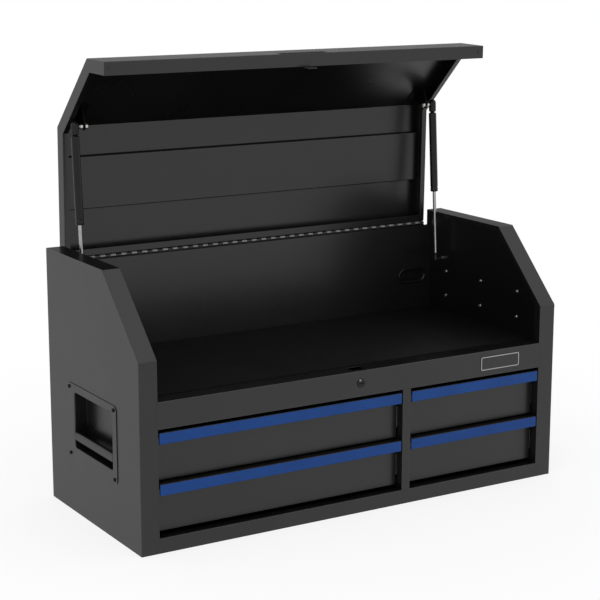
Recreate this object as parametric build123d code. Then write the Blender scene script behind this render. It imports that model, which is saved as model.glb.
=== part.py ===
from build123d import *
import math
import os

# Tool chest: a sheet-steel cabinet with a hinged lid over an open till and four drawers.
# Millimetres. X runs to the right, +Y to the back, +Z up; the origin is the middle of the base.
# The lid stands open and the drawers are shut.

# Cabinet shell
width = 1041.0
depth = 442.0
height = 558.0
sheet = 1.2
thin_sheet = 1.0
post_width = 41.0
slope_foot_z = 400.0
slope_run = 159.0
lip_depth = 12.0
jamb_depth = 22.0
bottom_upturn = 15.0
back_panel_drop = 5.0

# Front frame
bottom_rail_top = 32.0
top_rail_bottom = 258.0
top_rail_top = 315.0
top_rail_reach = 45.0
right_bay_width = 350.0
centre_post_width = 21.2

# Till: inner side walls, floor and mat
liner_gap = 31.5
till_floor_lap = 8.0
till_floor_upturn = 14.0
mat_thickness = 3.0
mat_margin = 0.3
upright_width = 30.0
upright_front_y = 26.0
upright_rear_gap = 32.0

# Side handles: plate with a pressed cup and a grip bar across it
handle_centre_y = 4.0
handle_centre_z = 203.5
handle_width = 242.0
handle_height = 166.0
handle_corner = 12.0
handle_plate = 1.6
cup_centre_y = -4.0
cup_centre_z = 208.0
cup_width = 185.0
cup_height = 121.0
cup_depth = 28.0
cup_wall = 1.5
cup_corner = 7.0
cup_clearance = 0.3
grip_height = 20.0
grip_depth = 13.0
grip_round = 3.2
grip_bottom_gap = 14.0
handle_screw_inset = 8.0
handle_screw_inset_z = 9.5

# Screws
screw_head_radius = 4.0
screw_head_height = 2.2
screw_head_round = 1.1
screw_slot_length = 4.0
screw_slot_width = 1.0
screw_slot_depth = 1.1
screw_shank_radius = 2.0
screw_length = 8.0
screw_hole_clearance = 0.1
liner_screw_y = 11.0
liner_screw_rise = 71.0
liner_screw_pitch_y = 137.0
liner_screw_pitch_z = 59.4

# Drawers
drawer_rows = ("lower", "upper")
drawer_end_gap = 8.0
drawer_row_gap = 4.0
drawer_side_gap = 3.0
drawer_recess = 21.0
drawer_back_gap = 21.0
drawer_floor_rise = 6.0
drawer_wall_drop = 23.0
pull_height = 21.3
trim_height = 23.0
trim_wall = 1.6
trim_hook = 4.5
trim_round = 1.1
trim_lip_height = 6.0
trim_gap = 0.3

# Drawer slides: three nested channels on each side
slide_thickness = 12.7
slide_height = 45.7
slide_sheet = 1.2
slide_centre_rise = 45.0
slide_fit = 0.4
slide_middle_stand = 2.0
slide_end_gap = 2.0

# Lid, in its closed place
lid_side_gap = 5.2
lid_wall_depth = 29.0
lid_lip_gap = 1.0
lid_side_lip = 13.0
lid_rear_lip = 15.0
hinge_drop = 32.0
lid_open_angle = 89.0
stiffener_width = 119.0
stiffener_rear_gap = 100.0
stiffener_side_gap = 9.3
stiffener_height = 10.0
pocket_half_width = 60.0
pocket_height = 24.0
pocket_rim = 3.0
pocket_depth = 10.0
bumper_radius = 4.0
bumper_height = 0.8
bumper_side_gap = 12.3
bumper_inset = 14.0
bumper_stem_radius = 1.9
bumper_cap_radius = 3.2

# Piano hinge between the back panel and the lid
knuckle_radius = 3.2
knuckle_pitch = 25.4
hinge_end_gap = 4.0
knuckle_gap = 0.4
hinge_leaf = 1.0
hinge_leaf_width = 22.0
hinge_pin_radius = 1.7
hinge_pin_fit = 0.05
hinge_swing_gap = 0.3

# Gas struts; the lower ball is placed from the hinge's axis, the upper one in the closed
# lid, below that axis and in front of the top edge of the slope
strut_side_gap = 11.5
upper_ball_drop = 34.0
upper_ball_slope_gap = 7.5
lower_ball_forward = 65.0
lower_ball_drop = 79.0
tube_radius = 9.0
tube_round = 1.0
tube_bore_radius = 8.0
tube_length = 186.5
tube_end_wall = 5.0
tube_top_drop = 22.0
rod_radius = 4.0
rod_fit = 0.05
gland_length = 8.0
piston_length = 8.0
piston_clearance = 0.15
rod_overlap = 38.0
socket_radius = 8.5
socket_high = 12.0
socket_low = 12.0
socket_dome = 7.5
neck_radius = 4.0
foot_socket_radius = 6.5
foot_socket_low = 12.0
foot_socket_high = 14.5
foot_socket_round = 4.5
foot_socket_flat = 4.2
foot_socket_gap = 0.3
ball_radius = 5.0
ball_fit = 0.05
stud_radius = 3.0
stud_channel_gap = 0.5
bracket_gap = 20.0
bracket_sheet = 2.0
bracket_half_length = 26.0
bracket_tip_radius = 9.0
bracket_flange_width = 20.0
upper_collar_length = 8.0
upper_nut_radius = 6.0
upper_nut_length = 7.0
lower_stud_radius = 3.5
lower_stud_collar_radius = 5.2
lower_stud_collar = 8.0
lower_stud_nut_radius = 6.4
lower_stud_nut = 4.0

# Cam lock in the top rail, and the catch that its cam holds
lock_drop = 27.0
lock_head_radius = 9.75
lock_head_height = 2.5
lock_head_round = 1.5
lock_barrel_radius = 8.0
lock_barrel_length = 24.0
lock_nut_radius = 10.5
lock_nut_thickness = 4.0
lock_hole_clearance = 0.1
plug_radius = 5.5
plug_fit = 0.05
plug_proud = 0.6
keyway_width = 2.0
keyway_length = 7.5
keyway_depth = 6.0
cam_gap = 0.5
cam_thickness = 2.0
cam_reach = 16.0
cam_half_width = 3.0
cam_hub_radius = 7.0
cam_tip_length = 6.5
catch_x_low = -7.0
catch_x_high = 15.0
catch_gap = 0.2
catch_sheet = 2.0
catch_foot = 17.0
catch_length = 22.0
catch_notch_low = 4.9
catch_notch_height = 10.6
catch_notch_x = 5.0
slot_half_width = 16.0
slot_front_y = 14.0
slot_back_y = 34.0

# Blank badge plate on the top rail
badge_side_gap = 57.0
badge_drop = 12.0
badge_width = 107.0
badge_height = 32.0
badge_corner = 5.0
badge_thickness = 1.2

# Oval rubber grommet in the back wall of the till
grommet_side_gap = 11.8
grommet_rise = 64.0
grommet_width = 80.0
grommet_height = 38.0
grommet_flange = 5.0
grommet_thickness = 2.5

# Places worked out from the sizes above
front = -depth / 2
back = depth / 2
post_inner_x = width / 2 - post_width
liner_x = width / 2 - sheet - liner_gap
back_wall = back - 2 * sheet
hinge_face = back - sheet
hinge_y = hinge_face + knuckle_radius
slope_angle = math.atan2(height - slope_foot_z, slope_run)
till_floor_top = top_rail_top - sheet
lid_half_width = post_inner_x - lid_side_gap
lid_low = top_rail_top + lid_lip_gap
hinge_z = height - hinge_drop
lid_rear_low = hinge_z + knuckle_radius + hinge_swing_gap
back_panel_top = hinge_z - back_panel_drop
knuckle_pairs = int(2 * (lid_half_width - hinge_end_gap) / knuckle_pitch)
centre_post_x = post_inner_x - right_bay_width - centre_post_width / 2
liner_screw_z = top_rail_top + liner_screw_rise
bay_height = top_rail_bottom - bottom_rail_top
row_gaps = 2 * drawer_end_gap + (len(drawer_rows) - 1) * drawer_row_gap
drawer_face_height = (bay_height - row_gaps) / len(drawer_rows)
drawer_length = depth - drawer_recess - drawer_back_gap
drawer_wall_height = drawer_face_height - drawer_floor_rise - drawer_wall_drop
slide_length = drawer_length
lid_turn = math.radians(lid_open_angle)
closed_ball_y = front + slope_run - upper_ball_slope_gap
closed_ball_z = hinge_z - upper_ball_drop
ball_reach = hinge_y - closed_ball_y
upper_ball_y = hinge_y - ball_reach * math.cos(lid_turn) - upper_ball_drop * math.sin(lid_turn)
upper_ball_z = hinge_z + ball_reach * math.sin(lid_turn) - upper_ball_drop * math.cos(lid_turn)
lower_ball_y = hinge_y - lower_ball_forward
lower_ball_z = hinge_z - lower_ball_drop
strut_x = lid_half_width - strut_side_gap
bracket_x = strut_x - bracket_gap
lower_stud_tip_x = strut_x + foot_socket_flat + foot_socket_gap
lock_z = top_rail_top - lock_drop
badge_x = post_inner_x - badge_side_gap - badge_width / 2
badge_z = top_rail_top - badge_drop - badge_height / 2
grommet_x = liner_x - grommet_side_gap - grommet_width / 2
grommet_z = top_rail_top + grommet_rise + grommet_height / 2


def fy(distance):
    """Y of a place that lies this far behind the front face."""
    return front + distance


def block(x, y, z):
    """Box between pairs of limits, given in any order."""
    limits = [sorted(pair) for pair in (x, y, z)]
    size = [high - low for low, high in limits]
    centre = [(low + high) / 2 for low, high in limits]
    return Pos(*centre) * Box(*size)


def yz_prism(face, x_a, x_b):
    """A face drawn in Y and Z, run along X between two places."""
    low, high = sorted((x_a, x_b))
    return extrude(Plane.YZ.offset(low) * face, amount=high - low)


def rod_x(radius, x_a, x_b, y, z):
    """Round bar along X."""
    low, high = sorted((x_a, x_b))
    return Pos((low + high) / 2, y, z) * Rot(0, 90, 0) * Cylinder(radius, high - low)


def hex_x(radius, x_a, x_b, y, z):
    """Hexagonal bar along X; the radius is that of its corners."""
    return yz_prism(Pos(y, z) * RegularPolygon(radius, 6), x_a, x_b)


def rod_y(radius, y_a, y_b, x, z):
    """Round bar along Y."""
    low, high = sorted((y_a, y_b))
    return Pos(x, (low + high) / 2, z) * Rot(90, 0, 0) * Cylinder(radius, high - low)


def outline(front_in, slope_in, top_in, back_in, base_z):
    """The cabinet's side profile, with each edge moved inwards by its own amount."""
    rise = math.tan(slope_angle)
    drop = slope_in / math.cos(slope_angle)
    top_z = height - top_in
    points = [
        (front + front_in, base_z),
        (back - back_in, base_z),
        (back - back_in, top_z),
        (front + (top_z - slope_foot_z + drop) / rise, top_z),
        (front + front_in, slope_foot_z + front_in * rise - drop),
    ]
    return make_face(Polyline(*points, close=True))


def save(name, *solids):
    """Write one node; several solids stay separate in it."""
    shape = solids[0] if len(solids) == 1 else Compound(children=list(solids))
    shape.label = name
    export_step(shape, f"parts/{name}.step")


# Side panels: trays with a flange all round and a lip turned in along the opening
def side_panel(side):
    outer_x = width / 2
    panel = yz_prism(outline(0, 0, 0, 0, 0), side * post_inner_x, side * outer_x)
    hollow = outline(sheet, sheet, sheet, sheet, -sheet)
    mouth = outline(jamb_depth, lip_depth, lip_depth, sheet, -sheet)
    panel -= yz_prism(hollow, side * (post_inner_x + sheet), side * (outer_x - sheet))
    panel -= yz_prism(mouth, side * (post_inner_x - sheet), side * (post_inner_x + 2 * sheet))
    lip_x = (side * post_inner_x, side * (post_inner_x + 2 * sheet))
    panel -= block(lip_x, (front + sheet, fy(2 * jamb_depth)), (-sheet, sheet))
    cut_width = cup_width + 2 * (cup_wall + cup_clearance)
    cut_height = cup_height + 2 * (cup_wall + cup_clearance)
    window = RectangleRounded(cut_width, cut_height, cup_corner + cup_wall)
    window = Pos(cup_centre_y, cup_centre_z) * window
    panel -= yz_prism(window, side * (outer_x - 2 * sheet), side * (outer_x + sheet))
    for y, z in handle_screw_places():
        reach = side * (outer_x - 2 * sheet), side * (outer_x + sheet)
        panel -= rod_x(screw_shank_radius + screw_hole_clearance, *reach, y, z)
    return panel


def side_liner(side):
    """Inner wall of the till, which also carries the drawer slides' uprights."""
    face = outline(sheet, sheet, sheet, 2 * sheet, sheet)
    liner = yz_prism(face, side * liner_x, side * (liner_x + thin_sheet))
    reach = side * (liner_x - sheet), side * (liner_x + 2 * thin_sheet)
    for y, z in liner_screw_places():
        liner -= rod_x(screw_shank_radius + screw_hole_clearance, *reach, y, z)
    hole = stud_radius + screw_hole_clearance
    return liner - rod_x(hole, *reach, lower_ball_y, lower_ball_z)


def back_panel():
    inner_x = width / 2 - sheet
    panel = block((-inner_x, inner_x), (back_wall, back_wall + sheet), (0, back_panel_top))
    hole = grommet_hole(grommet_flange)
    cut = extrude(Plane.XZ.offset(-back_wall - 2 * sheet) * hole, amount=3 * sheet)
    return panel - cut


def bottom_panel():
    inner_x = width / 2 - sheet
    low_y, high_y = front + sheet, back_wall
    panel = block((-inner_x, inner_x), (low_y, high_y), (0, sheet))
    for side in (-1, 1):
        upturn = (side * inner_x, side * (inner_x - sheet))
        panel += block(upturn, (low_y, high_y), (0, bottom_upturn))
    panel += block((-liner_x, liner_x), (high_y - sheet, high_y), (0, bottom_upturn))
    return panel


# Front frame: two rails and a post between the side panels' front flanges
def top_rail():
    span = (-post_inner_x, post_inner_x)
    rail = block(span, (front, front + sheet), (top_rail_bottom, top_rail_top))
    rail += block(span, (front, fy(top_rail_reach)), (till_floor_top, top_rail_top))
    rail += block(span, (front, fy(jamb_depth)), (top_rail_bottom, top_rail_bottom + sheet))
    barrel = lock_barrel_radius + lock_hole_clearance
    rail -= rod_y(barrel, front - sheet, front + 2 * sheet, 0, lock_z)
    slot_y = (fy(slot_front_y), fy(slot_back_y))
    slot_z = (till_floor_top - sheet, top_rail_top + sheet)
    return rail - block((-slot_half_width, slot_half_width), slot_y, slot_z)


def bottom_rail():
    span = (-post_inner_x, post_inner_x)
    rail = block(span, (front, front + sheet), (0, bottom_rail_top))
    shelf = (bottom_rail_top - sheet, bottom_rail_top)
    return rail + block(span, (front, fy(jamb_depth)), shelf)


def centre_post():
    half = centre_post_width / 2
    span_z = (bottom_rail_top, top_rail_bottom)
    low, high = centre_post_x - half, centre_post_x + half
    post = block((low, high), (front, front + sheet), span_z)
    post += block((low, low + sheet), (front, fy(jamb_depth)), span_z)
    return post + block((high - sheet, high), (front, fy(jamb_depth)), span_z)


def partition():
    """Hollow wall behind the centre post; the middle slides hang on it."""
    half = centre_post_width / 2
    low, high = centre_post_x - half, centre_post_x + half
    span_y = (fy(jamb_depth), back_wall - sheet)
    wall_z = (sheet, till_floor_top - thin_sheet)
    wall = block((low, low + thin_sheet), span_y, wall_z)
    wall += block((high - thin_sheet, high), span_y, wall_z)
    return wall + block((low, high), span_y, (sheet, sheet + thin_sheet))


def slide_uprights():
    """Channels on the liners, which bring the slides level with the front opening."""
    pieces = []
    for side in (-1, 1):
        rear = back - upright_rear_gap - upright_width
        for start in (fy(upright_front_y), rear):
            span_y = (start, start + upright_width)
            span_z = (sheet, till_floor_top - thin_sheet - till_floor_upturn)
            body = block((side * post_inner_x, side * liner_x), span_y, span_z)
            inner_y = (span_y[0] + thin_sheet, span_y[1] - thin_sheet)
            inner_x = side * (post_inner_x + thin_sheet)
            pieces.append(body - block((inner_x, side * (liner_x + sheet)), inner_y, span_z))
    return pieces


# Till floor and its mat
def till_floor():
    low_z = till_floor_top - thin_sheet
    start_y = fy(top_rail_reach - till_floor_lap)
    floor = block((-liner_x, liner_x), (start_y, back_wall), (low_z, till_floor_top))
    for side in (-1, 1):
        edge = (side * liner_x, side * (liner_x - thin_sheet))
        floor += block(edge, (start_y, back_wall), (low_z - till_floor_upturn, till_floor_top))
    return floor


def till_mat():
    half = liner_x - mat_margin
    span_y = (fy(top_rail_reach) + mat_margin, back_wall - mat_margin)
    top = till_floor_top + mat_thickness
    return block((-half, half), span_y, (till_floor_top, top))


# Side handles
def handle_screw_places():
    reach_y = handle_width / 2 - handle_screw_inset - screw_head_radius
    reach_z = handle_height / 2 - handle_screw_inset_z
    return [
        (handle_centre_y + along * reach_y, handle_centre_z + up * reach_z)
        for along in (-1, 1)
        for up in (-1, 1)
    ]


def handle_cup(side):
    """Plate on the side panel with a five-sided cup pressed into the cabinet."""
    face_x = side * width / 2
    plate = Pos(handle_centre_y, handle_centre_z) * RectangleRounded(
        handle_width, handle_height, handle_corner)
    mouth = Pos(cup_centre_y, cup_centre_z) * RectangleRounded(
        cup_width, cup_height, cup_corner)
    shell = Pos(cup_centre_y, cup_centre_z) * RectangleRounded(
        cup_width + 2 * cup_wall, cup_height + 2 * cup_wall, cup_corner + cup_wall)
    bottom_x = side * (width / 2 - cup_depth)
    cup = yz_prism(plate, face_x, face_x + side * handle_plate)
    cup += yz_prism(shell, bottom_x, face_x + side * handle_plate)
    cup -= yz_prism(mouth, bottom_x + side * cup_wall, face_x + side * 2 * handle_plate)
    for y, z in handle_screw_places():
        reach = face_x - side * sheet, face_x + side * 2 * handle_plate
        cup -= rod_x(screw_shank_radius + screw_hole_clearance, *reach, y, z)
    return cup


def handle_grip(side):
    """Bar across the cup, flush with its plate and seated on both of the cup's ends."""
    outer_x = side * (width / 2 + handle_plate)
    low_z = cup_centre_z - cup_height / 2 + grip_bottom_gap
    span_y = (cup_centre_y - cup_width / 2, cup_centre_y + cup_width / 2)
    bar = block((outer_x, outer_x - side * grip_depth), span_y, (low_z, low_z + grip_height))
    long_edges = bar.edges().filter_by(Axis.Y)
    return fillet(long_edges, grip_round)


def screw(x, y, z, direction):
    """Pan-head screw whose head points along X in the given direction."""
    head = rod_x(screw_head_radius, x, x + direction * screw_head_height, y, z)
    top = x + direction * screw_head_height
    outer = head.edges().filter_by(GeomType.CIRCLE).sort_by(Axis.X)[-1 if direction > 0 else 0]
    head = fillet(outer, screw_head_round)
    long, short = screw_slot_length / 2, screw_slot_width / 2
    for half_y, half_z in ((long, short), (short, long)):
        reach = (top + direction, top - direction * screw_slot_depth)
        head -= block(reach, (y - half_y, y + half_y), (z - half_z, z + half_z))
    return head + rod_x(screw_shank_radius, x, x - direction * screw_length, y, z)


def handle_screws():
    face_x = width / 2 + handle_plate
    return [screw(side * face_x, y, z, side) for side in (-1, 1) for y, z in handle_screw_places()]


def liner_screw_places():
    return [
        (liner_screw_y + column * liner_screw_pitch_y, liner_screw_z + row * liner_screw_pitch_z)
        for column in (-1, 0, 1)
        for row in (-0.5, 0.5)
    ]


def liner_screws():
    return [
        screw(side * liner_x, y, z, -side)
        for side in (-1, 1)
        for y, z in liner_screw_places()
    ]


# Drawers: the two bays, and the four drawers in them
def bays():
    half = centre_post_width / 2
    return {
        "left": (-post_inner_x, centre_post_x - half),
        "right": (centre_post_x + half, post_inner_x),
    }


def drawer_places():
    """Name, bay limits and lower edge of the face of each drawer."""
    places = []
    for bay, span in bays().items():
        for row, label in enumerate(drawer_rows):
            low_z = bottom_rail_top + drawer_end_gap + row * (drawer_face_height + drawer_row_gap)
            places.append((f"{bay}_{label}", span, low_z))
    return places


def drawer_box(span, low_z):
    """Front with its folded pull, and the open box behind it."""
    face_x = (span[0] + drawer_side_gap, span[1] - drawer_side_gap)
    body_x = (span[0] + slide_thickness, span[1] - slide_thickness)
    top_z = low_z + drawer_face_height
    face_y = fy(drawer_recess)
    lip_y = front + trim_wall
    box = block(face_x, (face_y, face_y + thin_sheet), (low_z, top_z))
    box += block(face_x, (lip_y, face_y), (top_z - thin_sheet, top_z))
    box += block(face_x, (lip_y, lip_y + thin_sheet), (top_z - pull_height, top_z))
    floor_z = low_z + drawer_floor_rise
    body_y = (face_y, face_y + drawer_length)
    body_z = (floor_z, floor_z + drawer_wall_height)
    body = block(body_x, body_y, body_z)
    inner_x = (body_x[0] + thin_sheet, body_x[1] - thin_sheet)
    inner_y = (body_y[0] + thin_sheet, body_y[1] - thin_sheet)
    inner_z = (body_z[0] + thin_sheet, body_z[1] + thin_sheet)
    return box + (body - block(inner_x, inner_y, inner_z))


def drawer_trim(span, low_z):
    """Coloured strip clipped round the pull's front edge."""
    face_x = (span[0] + drawer_side_gap, span[1] - drawer_side_gap)
    top_z = low_z + drawer_face_height
    floor_z = top_z - trim_height
    hook_z = top_z - pull_height - trim_gap
    strip = block(face_x, (front, front + trim_wall), (floor_z, top_z))
    strip += block(face_x, (front, front + trim_hook), (floor_z, hook_z))
    back_y = (front + trim_hook - trim_gap - thin_sheet, front + trim_hook)
    strip += block(face_x, back_y, (floor_z, hook_z + trim_lip_height))
    lower = strip.edges().filter_by(Axis.X).group_by(Axis.Z)[0].sort_by(Axis.Y)[0]
    return fillet(lower, trim_round)


def channel(wall_x, inward, near, far, half_height, centre_z, web_far):
    """Slide channel on a wall: near and far are its limits, counted from the wall."""
    span_y = (fy(drawer_recess) + slide_end_gap, fy(drawer_recess) + slide_end_gap + slide_length)
    x_a, x_b = wall_x + inward * near, wall_x + inward * far
    span_z = (centre_z - half_height, centre_z + half_height)
    hollow_z = (span_z[0] + slide_sheet, span_z[1] - slide_sheet)
    body = block((x_a, x_b), span_y, span_z)
    if web_far:
        hollow_x = (x_a - inward * slide_sheet, x_b - inward * slide_sheet)
    else:
        hollow_x = (x_a + inward * slide_sheet, x_b + inward * slide_sheet)
    return body - block(hollow_x, span_y, hollow_z)


def slide_members(span, low_z):
    """Outer, middle and inner members of a drawer's two slides."""
    centre_z = low_z + slide_centre_rise
    outer_half = slide_height / 2
    middle_half = outer_half - slide_sheet - slide_fit
    inner_half = middle_half - slide_sheet - slide_fit
    outer_far = slide_thickness - slide_sheet - slide_middle_stand
    middle_far = slide_thickness - slide_sheet - slide_fit
    inner_near = slide_middle_stand + slide_sheet + slide_fit
    outer, middle, inner = [], [], []
    for wall_x, inward in ((span[0], 1), (span[1], -1)):
        place = (wall_x, inward)
        outer.append(channel(*place, 0, outer_far, outer_half, centre_z, False))
        stand = slide_middle_stand
        middle.append(channel(*place, stand, middle_far, middle_half, centre_z, False))
        reach = slide_thickness
        inner.append(channel(*place, inner_near, reach, inner_half, centre_z, True))
    return outer, middle, inner


# Lid, drawn in its closed place and then swung open
def lid_opened(shape):
    """Swing a piece of the lid from its closed place to the open rest pose."""
    return Pos(0, hinge_y, hinge_z) * Rot(-lid_open_angle, 0, 0) * Pos(0, -hinge_y, -hinge_z) * shape


def lid_shell():
    """Tray whose side and rear walls end in a lip turned inwards."""
    half = lid_half_width
    skin = yz_prism(outline(0, 0, 0, sheet, lid_low), -half, half)
    inside = outline(sheet, sheet, sheet, 2 * sheet, lid_low - sheet)
    skin -= yz_prism(inside, -half + sheet, half - sheet)
    band = lid_wall_depth
    skin -= yz_prism(outline(band, band, band, band + sheet, lid_low - sheet), -2 * half, 2 * half)
    below_hinge = (lid_low - sheet, lid_rear_low)
    skin -= block((-2 * half, 2 * half), (0, back + sheet), below_hinge)
    rim = height - lid_rear_low
    lip = outline(rim - sheet, rim - sheet, rim - sheet, 2 * sheet, lid_low)
    lip -= outline(rim, rim, rim, 2 * sheet, lid_low - sheet)
    for side in (-1, 1):
        skin += yz_prism(lip, side * half, side * (half - lid_side_lip))
    rear_lip_y = (hinge_face - lid_rear_lip, hinge_face)
    skin += block((-half, half), rear_lip_y, (lid_rear_low, lid_rear_low + sheet))
    flange = (front, fy(lid_wall_depth))
    skin += block((-half, half), flange, (lid_low, lid_low + sheet))
    low_z = lid_low + pocket_rim
    pocket_z = (low_z, low_z + pocket_height)
    grown_z = (low_z - sheet, low_z + pocket_height + sheet)
    grown_x = (-pocket_half_width - sheet, pocket_half_width + sheet)
    skin += block(grown_x, (front, fy(pocket_depth + sheet)), grown_z)
    pocket_x = (-pocket_half_width, pocket_half_width)
    skin -= block(pocket_x, (front - sheet, fy(pocket_depth)), pocket_z)
    for side in (-1, 1):
        hole = bumper_stem_radius + screw_hole_clearance
        skin -= Pos(side * (half - bumper_side_gap), fy(bumper_inset), lid_low) * Cylinder(hole, 4 * sheet)
    return skin


def lid_stiffener():
    """Shallow pan across the inside of the lid's top."""
    top = height - sheet
    rear_y = back - stiffener_rear_gap
    span_y = (rear_y - stiffener_width, rear_y)
    half = lid_half_width - stiffener_side_gap
    pan = block((-half, half), span_y, (top - stiffener_height, top))
    inner_y = (span_y[0] + thin_sheet, span_y[1] - thin_sheet)
    inner_x = (-half + thin_sheet, half - thin_sheet)
    return pan - block(inner_x, inner_y, (top - stiffener_height + thin_sheet, top))


def lid_bumper(side):
    """Rubber button under the lid's front edge."""
    place = Pos(side * (lid_half_width - bumper_side_gap), fy(bumper_inset), 0)
    foot_z = lid_low - bumper_height / 2
    cap_z = lid_low + sheet + bumper_height / 2
    stem_z = lid_low + sheet / 2
    button = place * Pos(0, 0, foot_z) * Cylinder(bumper_radius, bumper_height)
    button += place * Pos(0, 0, stem_z) * Cylinder(bumper_stem_radius, sheet)
    return button + place * Pos(0, 0, cap_z) * Cylinder(bumper_cap_radius, bumper_height)


def lid_catch():
    """Notched plate behind the lid's front flange, which the lock's cam holds down."""
    plate_y = fy(lid_wall_depth) + catch_gap
    top_z = lid_low + sheet + catch_sheet
    low_z = lid_low - catch_length
    span_x = (catch_x_low, catch_x_high)
    catch = block(span_x, (plate_y, plate_y + catch_sheet), (low_z, top_z))
    foot_y = (plate_y - catch_foot, plate_y + catch_sheet)
    catch += block(span_x, foot_y, (top_z - catch_sheet, top_z))
    notch_z = (low_z + catch_notch_low, low_z + catch_notch_low + catch_notch_height)
    notch_y = (plate_y - sheet, plate_y + catch_sheet + sheet)
    return catch - block((catch_x_low - sheet, catch_notch_x), notch_y, notch_z)


# Piano hinge
def hinge_knuckles(first):
    """Places along X of one leaf's knuckles."""
    start = -knuckle_pairs * knuckle_pitch / 2
    half = knuckle_pitch / 2
    return [
        (start + index * knuckle_pitch + first * half + knuckle_gap / 2,
         start + index * knuckle_pitch + (first + 1) * half - knuckle_gap / 2)
        for index in range(knuckle_pairs)
    ]


def hinge_leaf_piece(first, up):
    """One leaf, drawn with the lid closed: up is 1 for the lid's leaf and -1 for the body's."""
    half = knuckle_pairs * knuckle_pitch / 2
    near = hinge_z + up * (knuckle_radius + hinge_swing_gap)
    far = hinge_z + up * hinge_leaf_width
    leaf_y = (hinge_face, hinge_face + hinge_leaf)
    leaf = block((-half, half), leaf_y, (near, far))
    for low_x, high_x in hinge_knuckles(first):
        leaf += rod_x(knuckle_radius, low_x, high_x, hinge_y, hinge_z)
        leaf += block((low_x, high_x), leaf_y, (hinge_z, near))
    bore = hinge_pin_radius + hinge_pin_fit
    return leaf - rod_x(bore, -half - sheet, half + sheet, hinge_y, hinge_z)


def hinge_pin():
    half = knuckle_pairs * knuckle_pitch / 2
    return rod_x(hinge_pin_radius, -half, half, hinge_y, hinge_z)


# Gas struts, drawn upright on the lower ball and then placed
strut_length = math.hypot(upper_ball_y - lower_ball_y, upper_ball_z - lower_ball_z)
strut_lean = math.degrees(math.atan2(upper_ball_y - lower_ball_y, upper_ball_z - lower_ball_z))
tube_top = strut_length - tube_top_drop
tube_bottom = tube_top - tube_length


def strut_placed(side, shape):
    return Pos(side * strut_x, lower_ball_y, lower_ball_z) * Rot(-strut_lean, 0, 0) * shape


def bar_z(radius, low, high):
    return Pos(0, 0, (low + high) / 2) * Cylinder(radius, high - low)


def strut_tube(side):
    tube = bar_z(tube_radius, tube_bottom, tube_top)
    rims = tube.edges().filter_by(GeomType.CIRCLE)
    tube = fillet(rims, tube_round)
    tube -= bar_z(tube_bore_radius, tube_bottom + gland_length, tube_top - tube_end_wall)
    tube -= bar_z(rod_radius + rod_fit, tube_bottom - sheet, tube_bottom + 2 * gland_length)
    return strut_placed(side, tube)


def strut_rod(side):
    """Rod with its piston at the top, inside the tube."""
    top = tube_bottom + rod_overlap
    rod = bar_z(rod_radius, foot_socket_high, top)
    piston_radius = tube_bore_radius - piston_clearance
    return strut_placed(side, rod + bar_z(piston_radius, top - piston_length, top))


def strut_upper_socket(side):
    """Socket on the tube, closed round the ball and open towards the bracket."""
    centre = strut_length
    socket = bar_z(socket_radius, centre - socket_low, centre + socket_high)
    rims = socket.edges().filter_by(GeomType.CIRCLE)
    socket = fillet(rims.sort_by(Axis.Z)[-1], socket_dome)
    socket += bar_z(neck_radius, tube_top, centre - socket_low)
    socket -= Pos(0, 0, centre) * Sphere(ball_radius + ball_fit)
    channel_end = -side * 2 * socket_radius
    socket -= rod_x(stud_radius + stud_channel_gap, 0, channel_end, 0, centre)
    return strut_placed(side, socket)


def strut_lower_socket(side):
    """Socket on the rod's foot, cut flat where it faces the cabinet's stud."""
    socket = bar_z(foot_socket_radius, -foot_socket_low, foot_socket_high)
    rims = socket.edges().filter_by(GeomType.CIRCLE)
    socket = fillet(rims.sort_by(Axis.Z)[0], foot_socket_round)
    reach = (-2 * foot_socket_low, 2 * foot_socket_high)
    trim = block((side * foot_socket_flat, side * 4 * foot_socket_radius), reach, reach)
    return strut_placed(side, socket - trim)


def strut_lower_stud(side):
    """Stud through the liner, with a collar inside and a nut behind."""
    y, z = lower_ball_y, lower_ball_z
    back_x = liner_x + thin_sheet
    stud = rod_x(lower_stud_radius, side * lower_stud_tip_x, side * liner_x, y, z)
    collar_x = liner_x - lower_stud_collar
    stud += hex_x(lower_stud_collar_radius, side * collar_x, side * liner_x, y, z)
    stud += rod_x(stud_radius, side * liner_x, side * back_x, y, z)
    nut_end = back_x + lower_stud_nut
    return stud + hex_x(lower_stud_nut_radius, side * back_x, side * nut_end, y, z)


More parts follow.
